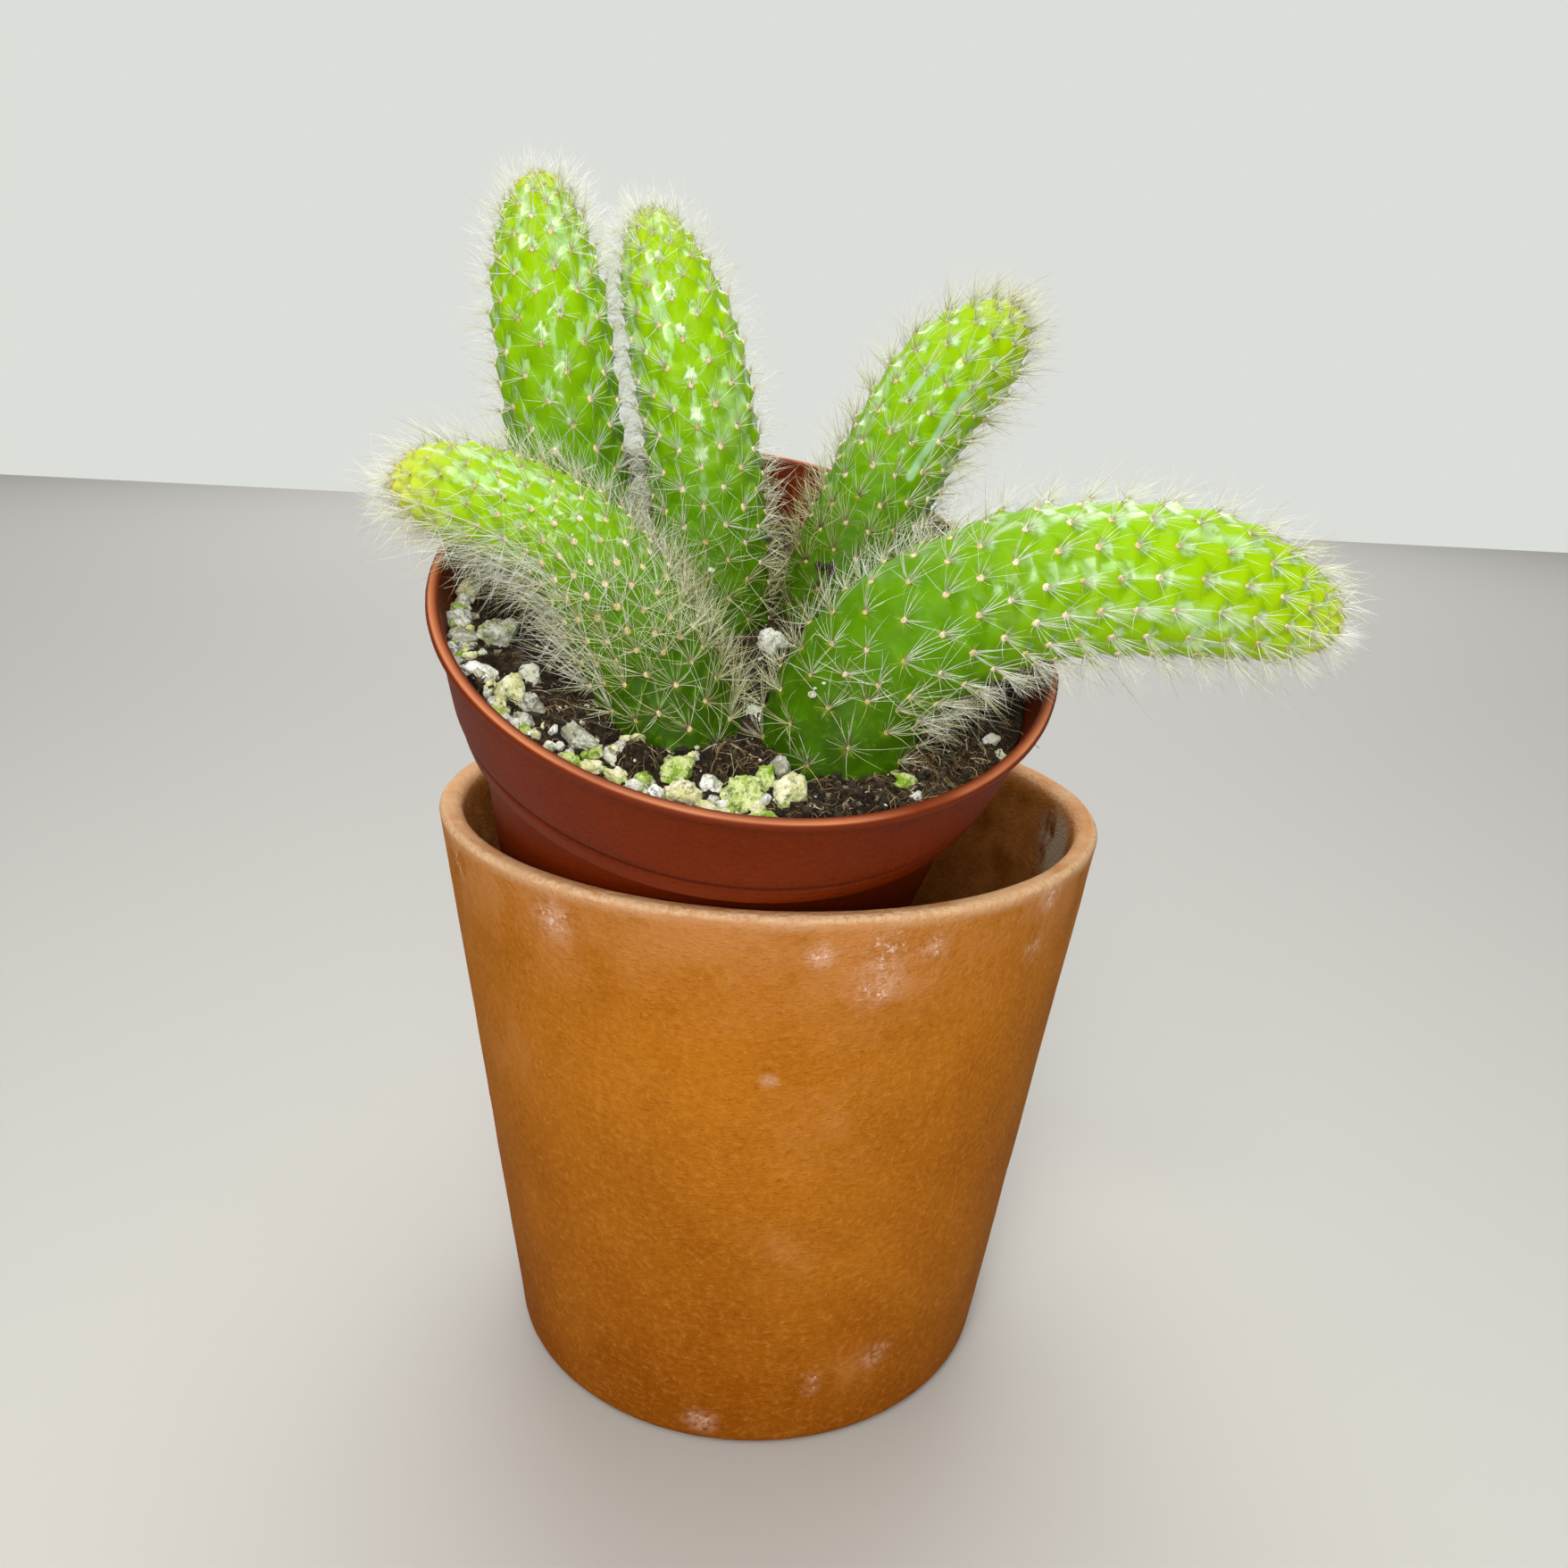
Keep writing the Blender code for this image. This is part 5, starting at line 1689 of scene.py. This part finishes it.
@dataclass(frozen=True)
class Stem:
    """One stem: its skin with the knobs, the wool on them, and the hairs.

    The path, the radii and the length of the rounded tip are in millimetres. The falls say how fast
    a knob sinks towards the tip, towards the root and to the side. The wool rings are the radius
    and the height of each ring of a wool pad, also in millimetres, as are its top and its foot.
    """

    name: str
    path: tuple[Vector, ...]
    root_radius: float
    top_radius: float
    tip_length: float
    fur: Fur
    seed: int
    ribs: int
    areole_pitch: float
    pitch_growth: float
    scarred: bool = False
    tip_areole_pitch: float = 5.2 * MM
    tip_crowding: float = 0.25
    tip_yellow: float = 0.2
    # Below 1 keeps more of the stem in the deep greens: partly a darker tone and partly painted shade.
    painted_shade_and_tone: float = 1.0
    front_fall: float = 1.5
    back_fall: float = 0.62
    side_fall: float = 1.15
    crest_round: float = 0.07
    root_end: float = 5 * MM
    path_step: float = 0.5 * MM
    knob_height: float = 1.15 * MM
    grain: int = 6
    wool_sides: int = 8
    wool_rings: tuple[tuple[float, float], ...] = ((0.44, -0.15), (0.52, 0.06), (0.34, 0.26))
    wool_top: float = 0.31
    wool_foot: float = 0.2

    def centre_line(self) -> Array:
        """A smooth curve through the stem's own points.

        Between two points the curve is the cubic whose slope at each is half the way from the point
        before it to the point after it.

        Returns:
            Evenly spaced points.
        """
        points = np.array(self.path, dtype=float) * MM
        padded = np.vstack([2 * points[0] - points[1], points, 2 * points[-1] - points[-2]])
        t = np.linspace(0, 1, 40, endpoint=False)[:, None]
        pieces = []
        for a, b, c, d in zip(padded, padded[1:], padded[2:], padded[3:]):
            pieces.append(0.5 * (2 * b + (c - a) * t + (2 * a - 5 * b + 4 * c - d) * t ** 2
                                 + (3 * b - a - 3 * c + d) * t ** 3))
        curve = np.vstack(pieces + [points[-1:]])
        along = np.concatenate([[0], np.cumsum(np.linalg.norm(np.diff(curve, axis=0), axis=1))])
        even = np.linspace(0, along[-1], round(along[-1] / self.path_step) + 1)
        return np.column_stack([np.interp(even, along, curve[:, i]) for i in range(3)])

    def length(self) -> float:
        """Length of the centre line."""
        return self.path_step * (len(self.centre_line()) - 1)

    def rings(self) -> tuple[int, int]:
        """Number of half areole pitches along the body and over the rounded tip.

        A quarter of the tip's outline is half pi times the root mean square of its half axes.

        Returns:
            The two numbers.
        """
        tip, top = self.tip_length * MM, self.top_radius * MM
        body = round((self.length() - tip - self.root_end) / (self.areole_pitch / 2))
        quarter = math.pi / 2 * math.sqrt((tip ** 2 + top ** 2) / 2)
        return body, round(quarter / (self.tip_areole_pitch / 2))

    def section(self, ring: Array) -> tuple[Array, Array, Array]:
        """The plain form at ring numbers, whole or not.

        The body tapers in a straight line, and the tip is half an ellipsoid. The distance between
        rings grows evenly along the body and shrinks evenly over the tip.

        Args:
            ring: Ring numbers.

        Returns:
            Place along the centre line, radius, and outward slope.
        """
        body_rings, tip_rings = self.rings()
        tip, top, root = self.tip_length * MM, self.top_radius * MM, self.root_radius * MM
        share = np.clip(ring / body_rings, 0, 1)
        growth = (self.pitch_growth - 1) / 2
        share = (share + growth * share ** 2) / (1 + growth)
        over = np.clip((ring - body_rings) / tip_rings, 0, 1)
        angle = over * (1 + self.tip_crowding * (1 - over)) * math.pi / 2
        body = self.length() - tip - self.root_end
        place = self.root_end + share * body + tip * np.sin(angle)
        radius = (root + share * (top - root)) * np.cos(angle)
        slope = np.arctan2(np.sin(angle) / tip, np.cos(angle) / top) * (angle > 0)
        return place, radius, slope

    def core(self) -> tuple[str, Array, Array]:
        """The plain form, for what has to stay out of it.

        Returns:
            The stem's name, every fourth point of its centre line, and a little over its radius
            there.
        """
        line = self.centre_line()
        place, radius, _ = self.section(np.linspace(0, sum(self.rings()), 200))
        radii = np.interp(np.arange(len(line)) * self.path_step, place, radius)
        return self.name, line[::4], radii[::4] + 0.3 * MM

    def axes(self) -> tuple[Array, Array, Array]:
        """The stem's own axes along its centre line.

        Returns:
            The centre line, its direction, and one axis across it that turns as little as it can.
        """
        line = self.centre_line()
        along = unit(np.gradient(line, axis=0))
        side = unit(np.cross([1.0, 0, 0], along[0]))
        sides = []
        for direction in along:
            side = unit(side - side.dot(direction) * direction)
            sides.append(side)
        return line, along, np.array(sides)

    def surface(self, ring: Array, column: Array, lift: Array) -> tuple[Array, Array, Array]:
        """Points of the skin.

        A point lies at the radius of its ring from the centre line, at the angle of its column, and
        is then lifted along the skin's outward direction.

        Args:
            ring: Ring numbers.
            column: Column numbers, of the same shape.
            lift: Heights over the plain skin.

        Returns:
            The points, the outward directions, and the directions along the stem.
        """
        axes = self.axes()
        place, radius, slope = self.section(ring)
        spot = np.arange(len(axes[0])) * self.path_step
        centre, tangent, first = (
            np.stack([np.interp(place, spot, values[:, i]) for i in range(3)], axis=-1)
            for values in axes)
        tangent = unit(tangent)
        first = unit(first - (first * tangent).sum(axis=-1, keepdims=True) * tangent)
        second = np.cross(tangent, first)
        angle = (FULL_TURN * column / self.ribs)[..., None]
        outward = first * np.cos(angle) + second * np.sin(angle)
        normal = outward * np.cos(slope)[..., None] + tangent * np.sin(slope)[..., None]
        return centre + outward * radius[..., None] + normal * lift[..., None], normal, tangent

    def relief(self, ring: Array, column: Array) -> tuple[Array, Array, Array]:
        """Knobs set like bricks, at whole ring and column numbers whose sum is even.

        A knob's height falls evenly from 1, by its falls: fast towards the tip and slowly towards
        the root, so it rises slowly and ends steeply behind its areole. Its crest is rounded by the
        root of the squared side step plus the crest's round. The highest of all knobs holds.

        Args:
            ring: Ring numbers.
            column: Column numbers, of the same shape.

        Returns:
            The height from 0 in the furrows to 1, and the steps ahead of and beside the nearest
            knob.
        """
        one, two = (ring + column) / 2, (ring - column) / 2
        one, two = one - np.round(one), two - np.round(two)
        rise = np.zeros(np.shape(one))
        for shift_one, shift_two in itertools.product((-1, 0, 1), repeat=2):
            ahead = one - shift_one + two - shift_two
            beside = np.abs(one - shift_one - two + shift_two)
            fall = np.where(ahead > 0, self.front_fall * ahead, -self.back_fall * ahead)
            crest = np.sqrt(beside ** 2 + self.crest_round) - 0.265
            rise = np.maximum(rise, 1 - self.side_fall * crest - fall)
        rise = np.clip(rise, 0, 1)
        return 0.4 * ease(0, 1, rise) + 0.6 * rise ** 1.3, one + two, np.abs(one - two)

    def lift(self, ring: Array, column: Array) -> Array:
        """Height of the skin over its plain form: the knobs, lower by the soil and at the tip.

        Args:
            ring: Ring numbers.
            column: Column numbers, of the same shape.

        Returns:
            One height a place.
        """
        fade = np.sqrt(np.clip(self.section(ring)[1] / (self.top_radius * MM), 0, 1))
        grown = 0.55 + 0.45 * ease(0.1, 0.75, ring / sum(self.rings()))
        return self.knob_height * grown * fade * (self.relief(ring, column)[0] - 0.5)

    def _skin(self, finish: Material) -> None:
        """The skin: a fine grid of rings and columns that follows the relief.

        It carries its share of the way to the tip, the knobs' height, the yellow of the tip, and the
        mask of the painted highlight, which also sets the coat's gloss; it lies ahead of each areole
        and in streaks of noise that is long on the stem.

        Args:
            finish: The finish of the skin.
        """
        count = sum(self.rings())
        steps = np.arange(0, count * self.grain) / self.grain
        ring, column = np.meshgrid(steps, np.arange(self.ribs * self.grain) / self.grain,
                                   indexing="ij")
        points, normal, _ = self.surface(ring, column, self.lift(ring, column))
        swell = 0.16 * MM * layered_noise(points, 7 * MM, self.seed) * ease(0, 4, count - ring)
        points = points + normal * swell[..., None]
        height, ahead, beside = self.relief(ring, column)
        # Mask of the painted highlight and the coat's gloss: a patch just ahead of each areole and
        # long streaks of noise, none low on the stem.
        wax = ease(0.04, 0.2, ahead) * (1 - ease(0.8, 1.3, ahead)) * (1 - ease(0.1, 0.5, beside))
        turn = FULL_TURN * column / self.ribs
        round_stem = np.stack([np.cos(turn), np.sin(turn), ring / 34], axis=-1)
        streaks = ease(0.18, 0.5, lattice_noise(round_stem, 0.2, self.seed + HIGHLIGHT_STREAK_SEED))
        streaks = 0.8 * streaks * (1 - 0.6 * ease(0.7, 1.0, height))
        wax = np.maximum(wax, streaks) * ease(0.15, 0.6, ring / count)
        tip = ease(0.74, 1.0, ring / count) * self.tip_yellow
        # The share along the stem picks the green, slowed by the stem's setting for a darker tone and
        # painted shade.
        values = {"along": (ring / count) ** (1 / self.painted_shade_and_tone), "knob": height, "wax": wax,
                  "tip": tip}
        line = self.centre_line()
        mesh_points, quads, triangles = tubes(points[None], line[:1], line[-1:])
        piece = Piece(self.name + "_skin", "cactus_skin")
        piece.add(mesh_points, quads, triangles,
                  **{name: np.append(numbers.ravel(), numbers.ravel()[[0, -1]])
                     for name, numbers in values.items()})
        piece.build(finish, self.name)

    def areoles(self, hollow: Hollow) -> tuple[Array, Array, Array, Array]:
        """The areoles, on the knobs that stand out of the soil, and on only some close to the tip.

        Args:
            hollow: The soil, and the pot that holds it.

        Returns:
            Places, outward directions, directions to the tip, and shares along the stem.
        """
        count = sum(self.rings())
        ring, column = np.meshgrid(np.arange(1, count), np.arange(self.ribs), indexing="ij")
        thin = self.section(ring.astype(float))[1] < 0.35 * self.top_radius * MM
        kept = ((ring + column) % 2 == 0) & (~thin | (column % 4 == ring % 4))
        ring, column = ring[kept] + 0.08, column[kept].astype(float)
        points, normal, tangent = self.surface(ring, column, self.lift(ring, column))
        tilted = hollow.pot.unplace(points)
        out = tilted[:, 2] > hollow.soil.height(tilted[:, 0], tilted[:, 1]) - 0.5 * MM
        ahead = tangent - (tangent * normal).sum(axis=1, keepdims=True) * normal
        ahead = unit(ahead + 1e-6 * np.array([1.0, 0.3, 0.2]))
        return points[out], normal[out], ahead[out], (ring / count)[out]

    def _wool(self, areoles: tuple[Array, ...], finish: Material) -> None:
        """The wool pads: low domes of some rings and a top, smaller and darker at both ends.

        Args:
            areoles: Places, outward directions, directions to the tip, and shares along the stem.
            finish: The finish of the wool.
        """
        places, normals, aheads, along = areoles
        chance = np.random.default_rng(self.seed + WOOL_SEED)
        count = len(places)
        beside = np.cross(normals, aheads)
        angle = np.arange(self.wool_sides) * FULL_TURN / self.wool_sides
        young = ease(0.45, 0.9, along)
        old = 1 - ease(0.12, 0.36, along)
        grown = (1.12 - 0.42 * young - 0.3 * old)[:, None, None]
        size = chance.uniform(0.85, 1.15, (count, 1, 1)) * grown
        reach = (aheads[:, None] * np.cos(angle)[:, None] * 1.15
                 + beside[:, None] * np.sin(angle)[:, None])
        rings = []
        for radius, height in self.wool_rings:
            rough = 1 + 0.16 * chance.uniform(-1, 1, (count, self.wool_sides, 1))
            ring = (reach * radius * rough + normals[:, None] * height) * size * MM
            rings.append(places[:, None] + ring)
        foot = places - normals * self.wool_foot * MM
        top = places + normals * (self.wool_top * MM) * size[:, 0]
        points, quads, triangles = tubes(np.stack(rings, axis=1), foot, top)
        tone = np.clip(chance.normal(0.72, 0.18, count) - 0.4 * young - 0.35 * old, 0, 1)
        dark_top = np.zeros(len(points) // count)
        dark_top[-1] = 0.4
        piece = Piece(self.name + "_wool", "cactus_skin")
        piece.add(points, quads, triangles, tone=np.clip(tone[:, None] - dark_top, 0, 1).ravel())
        piece.build(finish)

    def _grow(self, piece: Piece, chance: np.random.Generator, base: tuple[Array, ...],
              hollow: Hollow, tuft: Tuft, length: Array, tone: Array) -> None:
        """Adds hairs to the piece.

        A hair leans from the skin's outward direction by its tilt, towards a bearing spread round
        the direction to the tip. Its line is that direction times the length and the share t of the
        way, plus a bend times t squared, and its radius shrinks towards its end.

        Args:
            piece: The mesh that takes the hairs.
            chance: The source of random numbers.
            base: Places, outward directions and directions to the tip of the areoles.
            hollow: What the hairs must stay out of.
            tuft: The kind of hair.
            length: Mean length at each areole.
            tone: Mean tone at each areole.
        """
        places, normals, aheads = (np.repeat(values, tuft.count, axis=0) for values in base)
        total = len(places)
        besides = np.cross(normals, aheads)
        lean = np.radians(chance.uniform(*tuft.tilt, (total, 1)))
        bearing = np.radians(chance.normal(0, tuft.spread, (total, 1)))
        flat = aheads * np.cos(bearing) + besides * np.sin(bearing)
        direction = normals * np.cos(lean) + flat * np.sin(lean)
        direction = unit(direction + self.fur.comb * np.sin(lean) * aheads * 0.5)
        span = np.repeat(length, tuft.count)[:, None] * chance.uniform(0.6, 1.25, (total, 1))
        foot = places + 0.3 * MM * (flat * chance.uniform(0, 1, (total, 1)) + 0.2 * normals)
        bend = tuft.curl * chance.normal(0, 1, (total, 3)) + self.fur.comb * 0.25 * aheads
        bend = bend - 0.1 * np.array([0, 0, 1.0])
        shares = np.linspace(0, 1, tuft.rows)

        def lines(reach: Array) -> Array:
            """The hairs' lines.

            Args:
                reach: Length of each hair.

            Returns:
                Points of shape (hairs, rows, 3).
            """
            t = shares[None, :, None] * (reach / span)[:, :, None]
            way = direction[:, None] * t + bend[:, None] * t * t
            return foot[:, None] + span[:, :, None] * way

        free = hollow.free_share(self.name, lines(span), shares)[:, None]
        taper = np.linspace(1, 0.5, tuft.rows - 1)
        radii = tuft.thickness * chance.uniform(0.7, 1.3, (total, 1)) * taper
        points, quads, triangles = hair_tubes(lines(span * free), radii)
        dull = 0.4 * (chance.uniform(size=total) < 0.22)
        shade = np.repeat(tone, tuft.count) + chance.normal(0, 0.08, total) - dull
        piece.add(points, quads, triangles,
                  tone=np.repeat(np.clip(shade, 0, 1), len(points) // total))

    def _hair(self, areoles: tuple[Array, ...], hollow: Hollow, finish: Material) -> None:
        """All hairs of the stem, one kind after another, each on the areoles that have it.

        Args:
            areoles: Places, outward directions, directions to the tip, and shares along the stem.
            hollow: What the hairs must stay out of.
            finish: The finish of the hairs.
        """
        fur = self.fur
        chance = np.random.default_rng(self.seed + HAIR_SEED)
        bare = chance.uniform(size=len(areoles[0])) < fur.thinning * ease(0.75, 0.95, areoles[3])
        places, normals, aheads, along = (values[~bare] for values in areoles)
        tilted = hollow.pot.unplace(places)
        rise = tilted[:, 2] - hollow.soil.height(tilted[:, 0], tilted[:, 1])
        low = 1 - ease(4 * MM, 26 * MM, rise)
        tip = ease(0.8, 0.97, along)
        silk = ease(0.1, 0.8, normals @ np.array(fur.silk)) * fur.silk_growth
        tone = np.clip(fur.tone - fur.dulling * low + 0.1 * tip + 0.5 * silk, 0, 1)
        growth = (1 + (fur.tip_growth - 1) * tip) * (1 + silk)
        ray, bristle = np.mean(fur.ray_length) * MM, np.mean(fur.bristle_length) * MM
        stiff = 7.5 * MM
        everywhere = np.ones(len(places), bool)
        kinds = (
            (Tuft(fur.rays, (58, 86), 110, 0.1, 3, 0.038 * MM), everywhere,
             ray * (1 + 0.3 * silk), -0.32 * (1 - silk)),
            (Tuft(fur.bristles, (8, 60), 85, 0.1, 4, 0.052 * MM), everywhere,
             bristle * growth, 0.0),
            (Tuft(fur.tangle, (30, 85), 120, 0.28, 5), rise < 18 * MM, stiff, 0.0),
            (Tuft(fur.ruff_count, (10, 65), 70, 0.12, 4), normals @ np.array(fur.ruff) > 0.45,
             stiff, -0.12),
            (Tuft(fur.crown, (0, 40), 60, 0.1, 3), tip > 0.3, bristle * fur.tip_growth, 0.0),
            (Tuft(fur.silk_count, fur.silk_lean, 24, 0.08, 5), silk > 0.3 * fur.silk_growth,
             fur.silk_length * MM, 0.2))
        piece = Piece(self.name + "_hair", "cactus_skin")
        for tuft, mask, length, shift in kinds:
            if mask.any() and tuft.count:
                base = tuple(values[mask] for values in (places, normals, aheads))
                self._grow(piece, chance, base, hollow, tuft,
                           np.broadcast_to(length, mask.shape)[mask], (tone + shift)[mask])
        piece.build(finish)

    def build(self, hollow: Hollow, skin: Material, wool: Material, hair: Material) -> None:
        """Makes the stem.

        Args:
            hollow: What the hairs must stay out of.
            skin: The finish of the skin.
            wool: The finish of the areoles.
            hair: The finish of the hairs.
        """
        self._skin(skin)
        areoles = self.areoles(hollow)
        LOG.info("%s: %d areoles", self.name, len(areoles[0]))
        self._wool(areoles, wool)
        self._hair(areoles, hollow, hair)


SCARS = (
    ((32.7, -5.5, 201.4), (29.3, -7.9, 196.5), (27.5, -9.4, 193.2), (24.6, -11.4, 189.1),
     (22.9, -12.5, 186.0)),
    ((26.8, -5.3, 205.9), (21.1, -7.7, 199.4)),
)

UPRIGHT_FUR = Fur(rays=7, bristles=12, ray_length=(2.4, 4.6), bristle_length=(5.0, 7.0),
                  tone=0.93, comb=0.35, tip_growth=0.7, crown=1, thinning=0.65,
                  silk=(0.99, -0.1, 0.0), silk_growth=0.04, silk_count=7, silk_length=5.5,
                  silk_lean=(5, 60))

STEMS = (
    Stem("stem_front_left",
         ((-14, -53, 134.5), (-17, -51.5, 147), (-21.5, -46.5, 156), (-27.5, -41.5, 165.5),
          (-35.5, -37.5, 173.5), (-46.5, -35, 178.5), (-57.5, -32.5, 181), (-67, -31.5, 181)),
         root_radius=12.0, top_radius=8.6, tip_length=16,
         fur=Fur(rays=7, bristles=6, ray_length=(2.4, 4.4), bristle_length=(5.5, 8.5), tone=0.82,
                 comb=0.9, tip_growth=1.1, crown=3, thinning=0.2, silk=(-0.75, -0.1, -0.65),
                 silk_growth=0.24, silk_count=2, silk_length=11.5, tangle=12, dulling=0.25,
                 ruff=(0.52, 0.25, 0.8), ruff_count=5),
         seed=1, ribs=19, areole_pitch=4.5 * MM, pitch_growth=1.2, tip_yellow=1.15,
         painted_shade_and_tone=0.74),
    Stem("stem_back_left",
         ((-36, -13, 150), (-36, -16, 164.5), (-39, -14.5, 179), (-42, -12.5, 199.5),
          (-45, -8.5, 219), (-46.5, -6, 235)),
         root_radius=10.6, top_radius=10.3, tip_length=28,
         fur=UPRIGHT_FUR, seed=2, ribs=18, areole_pitch=7.2 * MM, pitch_growth=1.8, painted_shade_and_tone=0.92),
    Stem("stem_back_middle",
         ((-13, -16.5, 143), (-12.5, -18, 157.5), (-14, -14, 175), (-16, -10, 190.5),
          (-19.5, -6, 206), (-24, -3.5, 219), (-28, -1, 230.5)),
         root_radius=10.6, top_radius=10.5, tip_length=32,
         fur=replace(UPRIGHT_FUR, tone=0.92, tip_growth=0.75, thinning=0.55,
                     silk=(-0.99, -0.1, 0.0)),
         seed=3, ribs=18, areole_pitch=6.6 * MM, pitch_growth=1.5, tip_yellow=0.4,
         painted_shade_and_tone=0.92),
    Stem("stem_back_right",
         ((5.5, -8, 147), (9.5, -10, 161.5), (14.5, -6, 174), (20.5, -2, 187.5),
          (28.5, 4, 201.5), (36, 7.5, 209), (44, 11, 217)),
         root_radius=10.4, top_radius=10.4, tip_length=20,
         fur=Fur(rays=8, bristles=14, ray_length=(2.4, 4.6), bristle_length=(5.5, 7.5), tone=0.72,
                 comb=0.9, tip_growth=1.0, crown=5, silk=(0.9, -0.1, -0.4), silk_growth=0.06,
                 silk_count=4, silk_length=7.0, silk_lean=(15, 70), ruff=(-0.68, -0.2, 0.7),
                 ruff_count=5),
         seed=4, ribs=15, areole_pitch=6.0 * MM, pitch_growth=1.15, scarred=True, tip_yellow=0.7,
         painted_shade_and_tone=0.88),
    Stem("stem_front_right",
         ((7.5, -48.5, 132), (10, -51.5, 145), (14, -49.5, 154.5), (21.5, -48.5, 162),
          (31.5, -46, 167.5), (40.5, -44, 171), (55.5, -41.5, 172.5), (71, -39.5, 172),
          (84, -39, 169), (95, -39, 165.5)),
         root_radius=12.8, top_radius=12.5, tip_length=36,
         fur=Fur(rays=8, bristles=11, ray_length=(2.0, 3.8), bristle_length=(4.5, 7.5), tone=0.87,
                 comb=0.8, tip_growth=0.8, crown=0, thinning=0.6, silk=(0.0, -0.15, -0.98),
                 silk_growth=0.05, silk_count=6, silk_length=5.5, silk_lean=(0, 50),
                 dulling=0.24, ruff=(-0.1, 0.25, 0.95), ruff_count=5),
         seed=5, ribs=16, areole_pitch=5.7 * MM, pitch_growth=1.3, tip_yellow=0.5),
)


# Studio


def stand(item: bpy.types.Object, axes: tuple[Vector, ...], place: Vector) -> None:
    """Gives a camera or light its own three axes and its place, as its matrix's columns."""
    item.matrix_world = [*([*axis, 0.0] for axis in axes), [*place, 1.0]]


@dataclass(frozen=True)
class Light:
    """A soft rectangular light that looks from its place at its aim, some times as tall as wide."""

    name: str
    place: Vector
    size: float
    power: float
    colour: Vector
    aim: Vector = (0, -0.02, 0.13)
    tall: float = 1.0

    def build(self) -> None:
        """Makes the light."""
        data = bpy.data.lights.new(self.name, "AREA")
        data.shape = "RECTANGLE"
        data.size = self.size
        data.size_y = self.size * self.tall
        data.energy = self.power
        data.color = self.colour
        back = unit(np.array(self.place) - np.array(self.aim))
        side = unit(np.cross([0.01, 0, 1.0], back))
        stand(put(self.name, data), (side, np.cross(back, side), back), self.place)


@dataclass(frozen=True)
class Studio:
    """The floor, the lights and the camera."""

    lens: float = 28.6
    sensor: float = 36.0
    eye: Vector = (0.0, -0.24967, 0.19734)
    right: Vector = (0.99886, 0.00416, 0.04872)
    up: Vector = (-0.04783, 0.28986, 0.95586)
    back: Vector = (-0.01019, -0.95706, 0.28970)
    floor_reach: float = 2.2
    floor_colour: Colour = paint(194, 192, 187)
    around: tuple[float, Colour] = (0.4, paint(108, 110, 112))
    behind: tuple[float, Colour] = (0.75, paint(220, 222, 217))
    lights: tuple[Light, ...] = (
        Light("key", (-0.1, -0.62, 0.6), 0.2, 5.1, (1.0, 0.985, 0.94), tall=3.6),
        Light("fill", (0.12, -0.75, 0.3), 0.3, 1.3, (1.0, 0.99, 0.97)),
        Light("top", (0.0, -0.05, 0.9), 0.45, 2.0, (0.97, 0.99, 1.0)),
        Light("back", (0.0, 1.8, 1.5), 2.2, 34.0, (1.0, 0.99, 0.97), (0.0, 1.0, 0.0)))

    def _camera(self) -> None:
        """The camera, at the angle of the reference view."""
        data = bpy.data.cameras.new("camera")
        data.lens = self.lens
        data.sensor_width = self.sensor
        data.clip_start = 10 * MM
        camera = put("camera", data)
        stand(camera, (self.right, self.up, self.back), self.eye)
        bpy.context.scene.camera = camera

    def _floor(self) -> None:
        """A wide, plain, pale floor."""
        reach = self.floor_reach
        mesh = bpy.data.meshes.new("floor")
        mesh.from_pydata([(-reach, -reach, 0), (reach, -reach, 0), (reach, reach, 0),
                          (-reach, reach, 0)], [], [(0, 1, 2, 3)])
        mesh.materials.append(Shader("floor").dress(Base_Color=self.floor_colour, Roughness=0.7))
        floor = put("floor", mesh)

    def _room(self) -> None:
        """The room's even light, grey all round and paler behind the plant."""
        world = bpy.data.worlds.new("room")
        world.use_nodes = True
        tree = world.node_tree
        place = tree.nodes.new("ShaderNodeTexCoord")
        split = tree.nodes.new("ShaderNodeSeparateXYZ")
        ramp = tree.nodes.new("ShaderNodeValToRGB")
        for element, stop in zip(ramp.color_ramp.elements, (self.around, self.behind)):
            element.position, element.color = stop
        tree.links.new(place.outputs["Generated"], split.inputs[0])
        tree.links.new(split.outputs["Y"], ramp.inputs[0])
        tree.links.new(ramp.outputs[0], tree.nodes["Background"].inputs["Color"])
        bpy.context.scene.world = world
        bpy.context.scene.view_settings.view_transform = "Standard"

    def build(self) -> None:
        """Makes the floor, the room's light, the lights and the camera."""
        self._floor()
        self._room()
        for light in self.lights:
            light.build()
        self._camera()


def main() -> None:
    """Builds the studio and every sub-assembly."""
    logging.basicConfig(level=logging.INFO, format="%(message)s")
    Studio().build()
    ClayPot().build()
    pot = NurseryPot()
    pot.build()
    soil = Soil(pot)
    pumice = {tint: PumiceFinish(tint).make() for tint in Tint}
    crumb = soil.build(pumice[Tint.WHITE])
    Stones(soil).build(pumice)
    Litter().build(soil, crumb, pumice[Tint.WHITE])
    wool = ToneFinish("areole_wool", WOOL_STOPS, 0.9).make()
    hair = ToneFinish("cactus_hair", HAIR_STOPS, 0.55, 4).make()
    hollow = Hollow(pot, soil, tuple(stem.core() for stem in STEMS))
    skin, scarred_skin = SkinFinish().make(), SkinFinish("scarred_skin", SCARS).make()
    for stem in STEMS:
        stem.build(hollow, scarred_skin if stem.scarred else skin, wool, hair)
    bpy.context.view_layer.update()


if __name__ == "__main__":
    main()
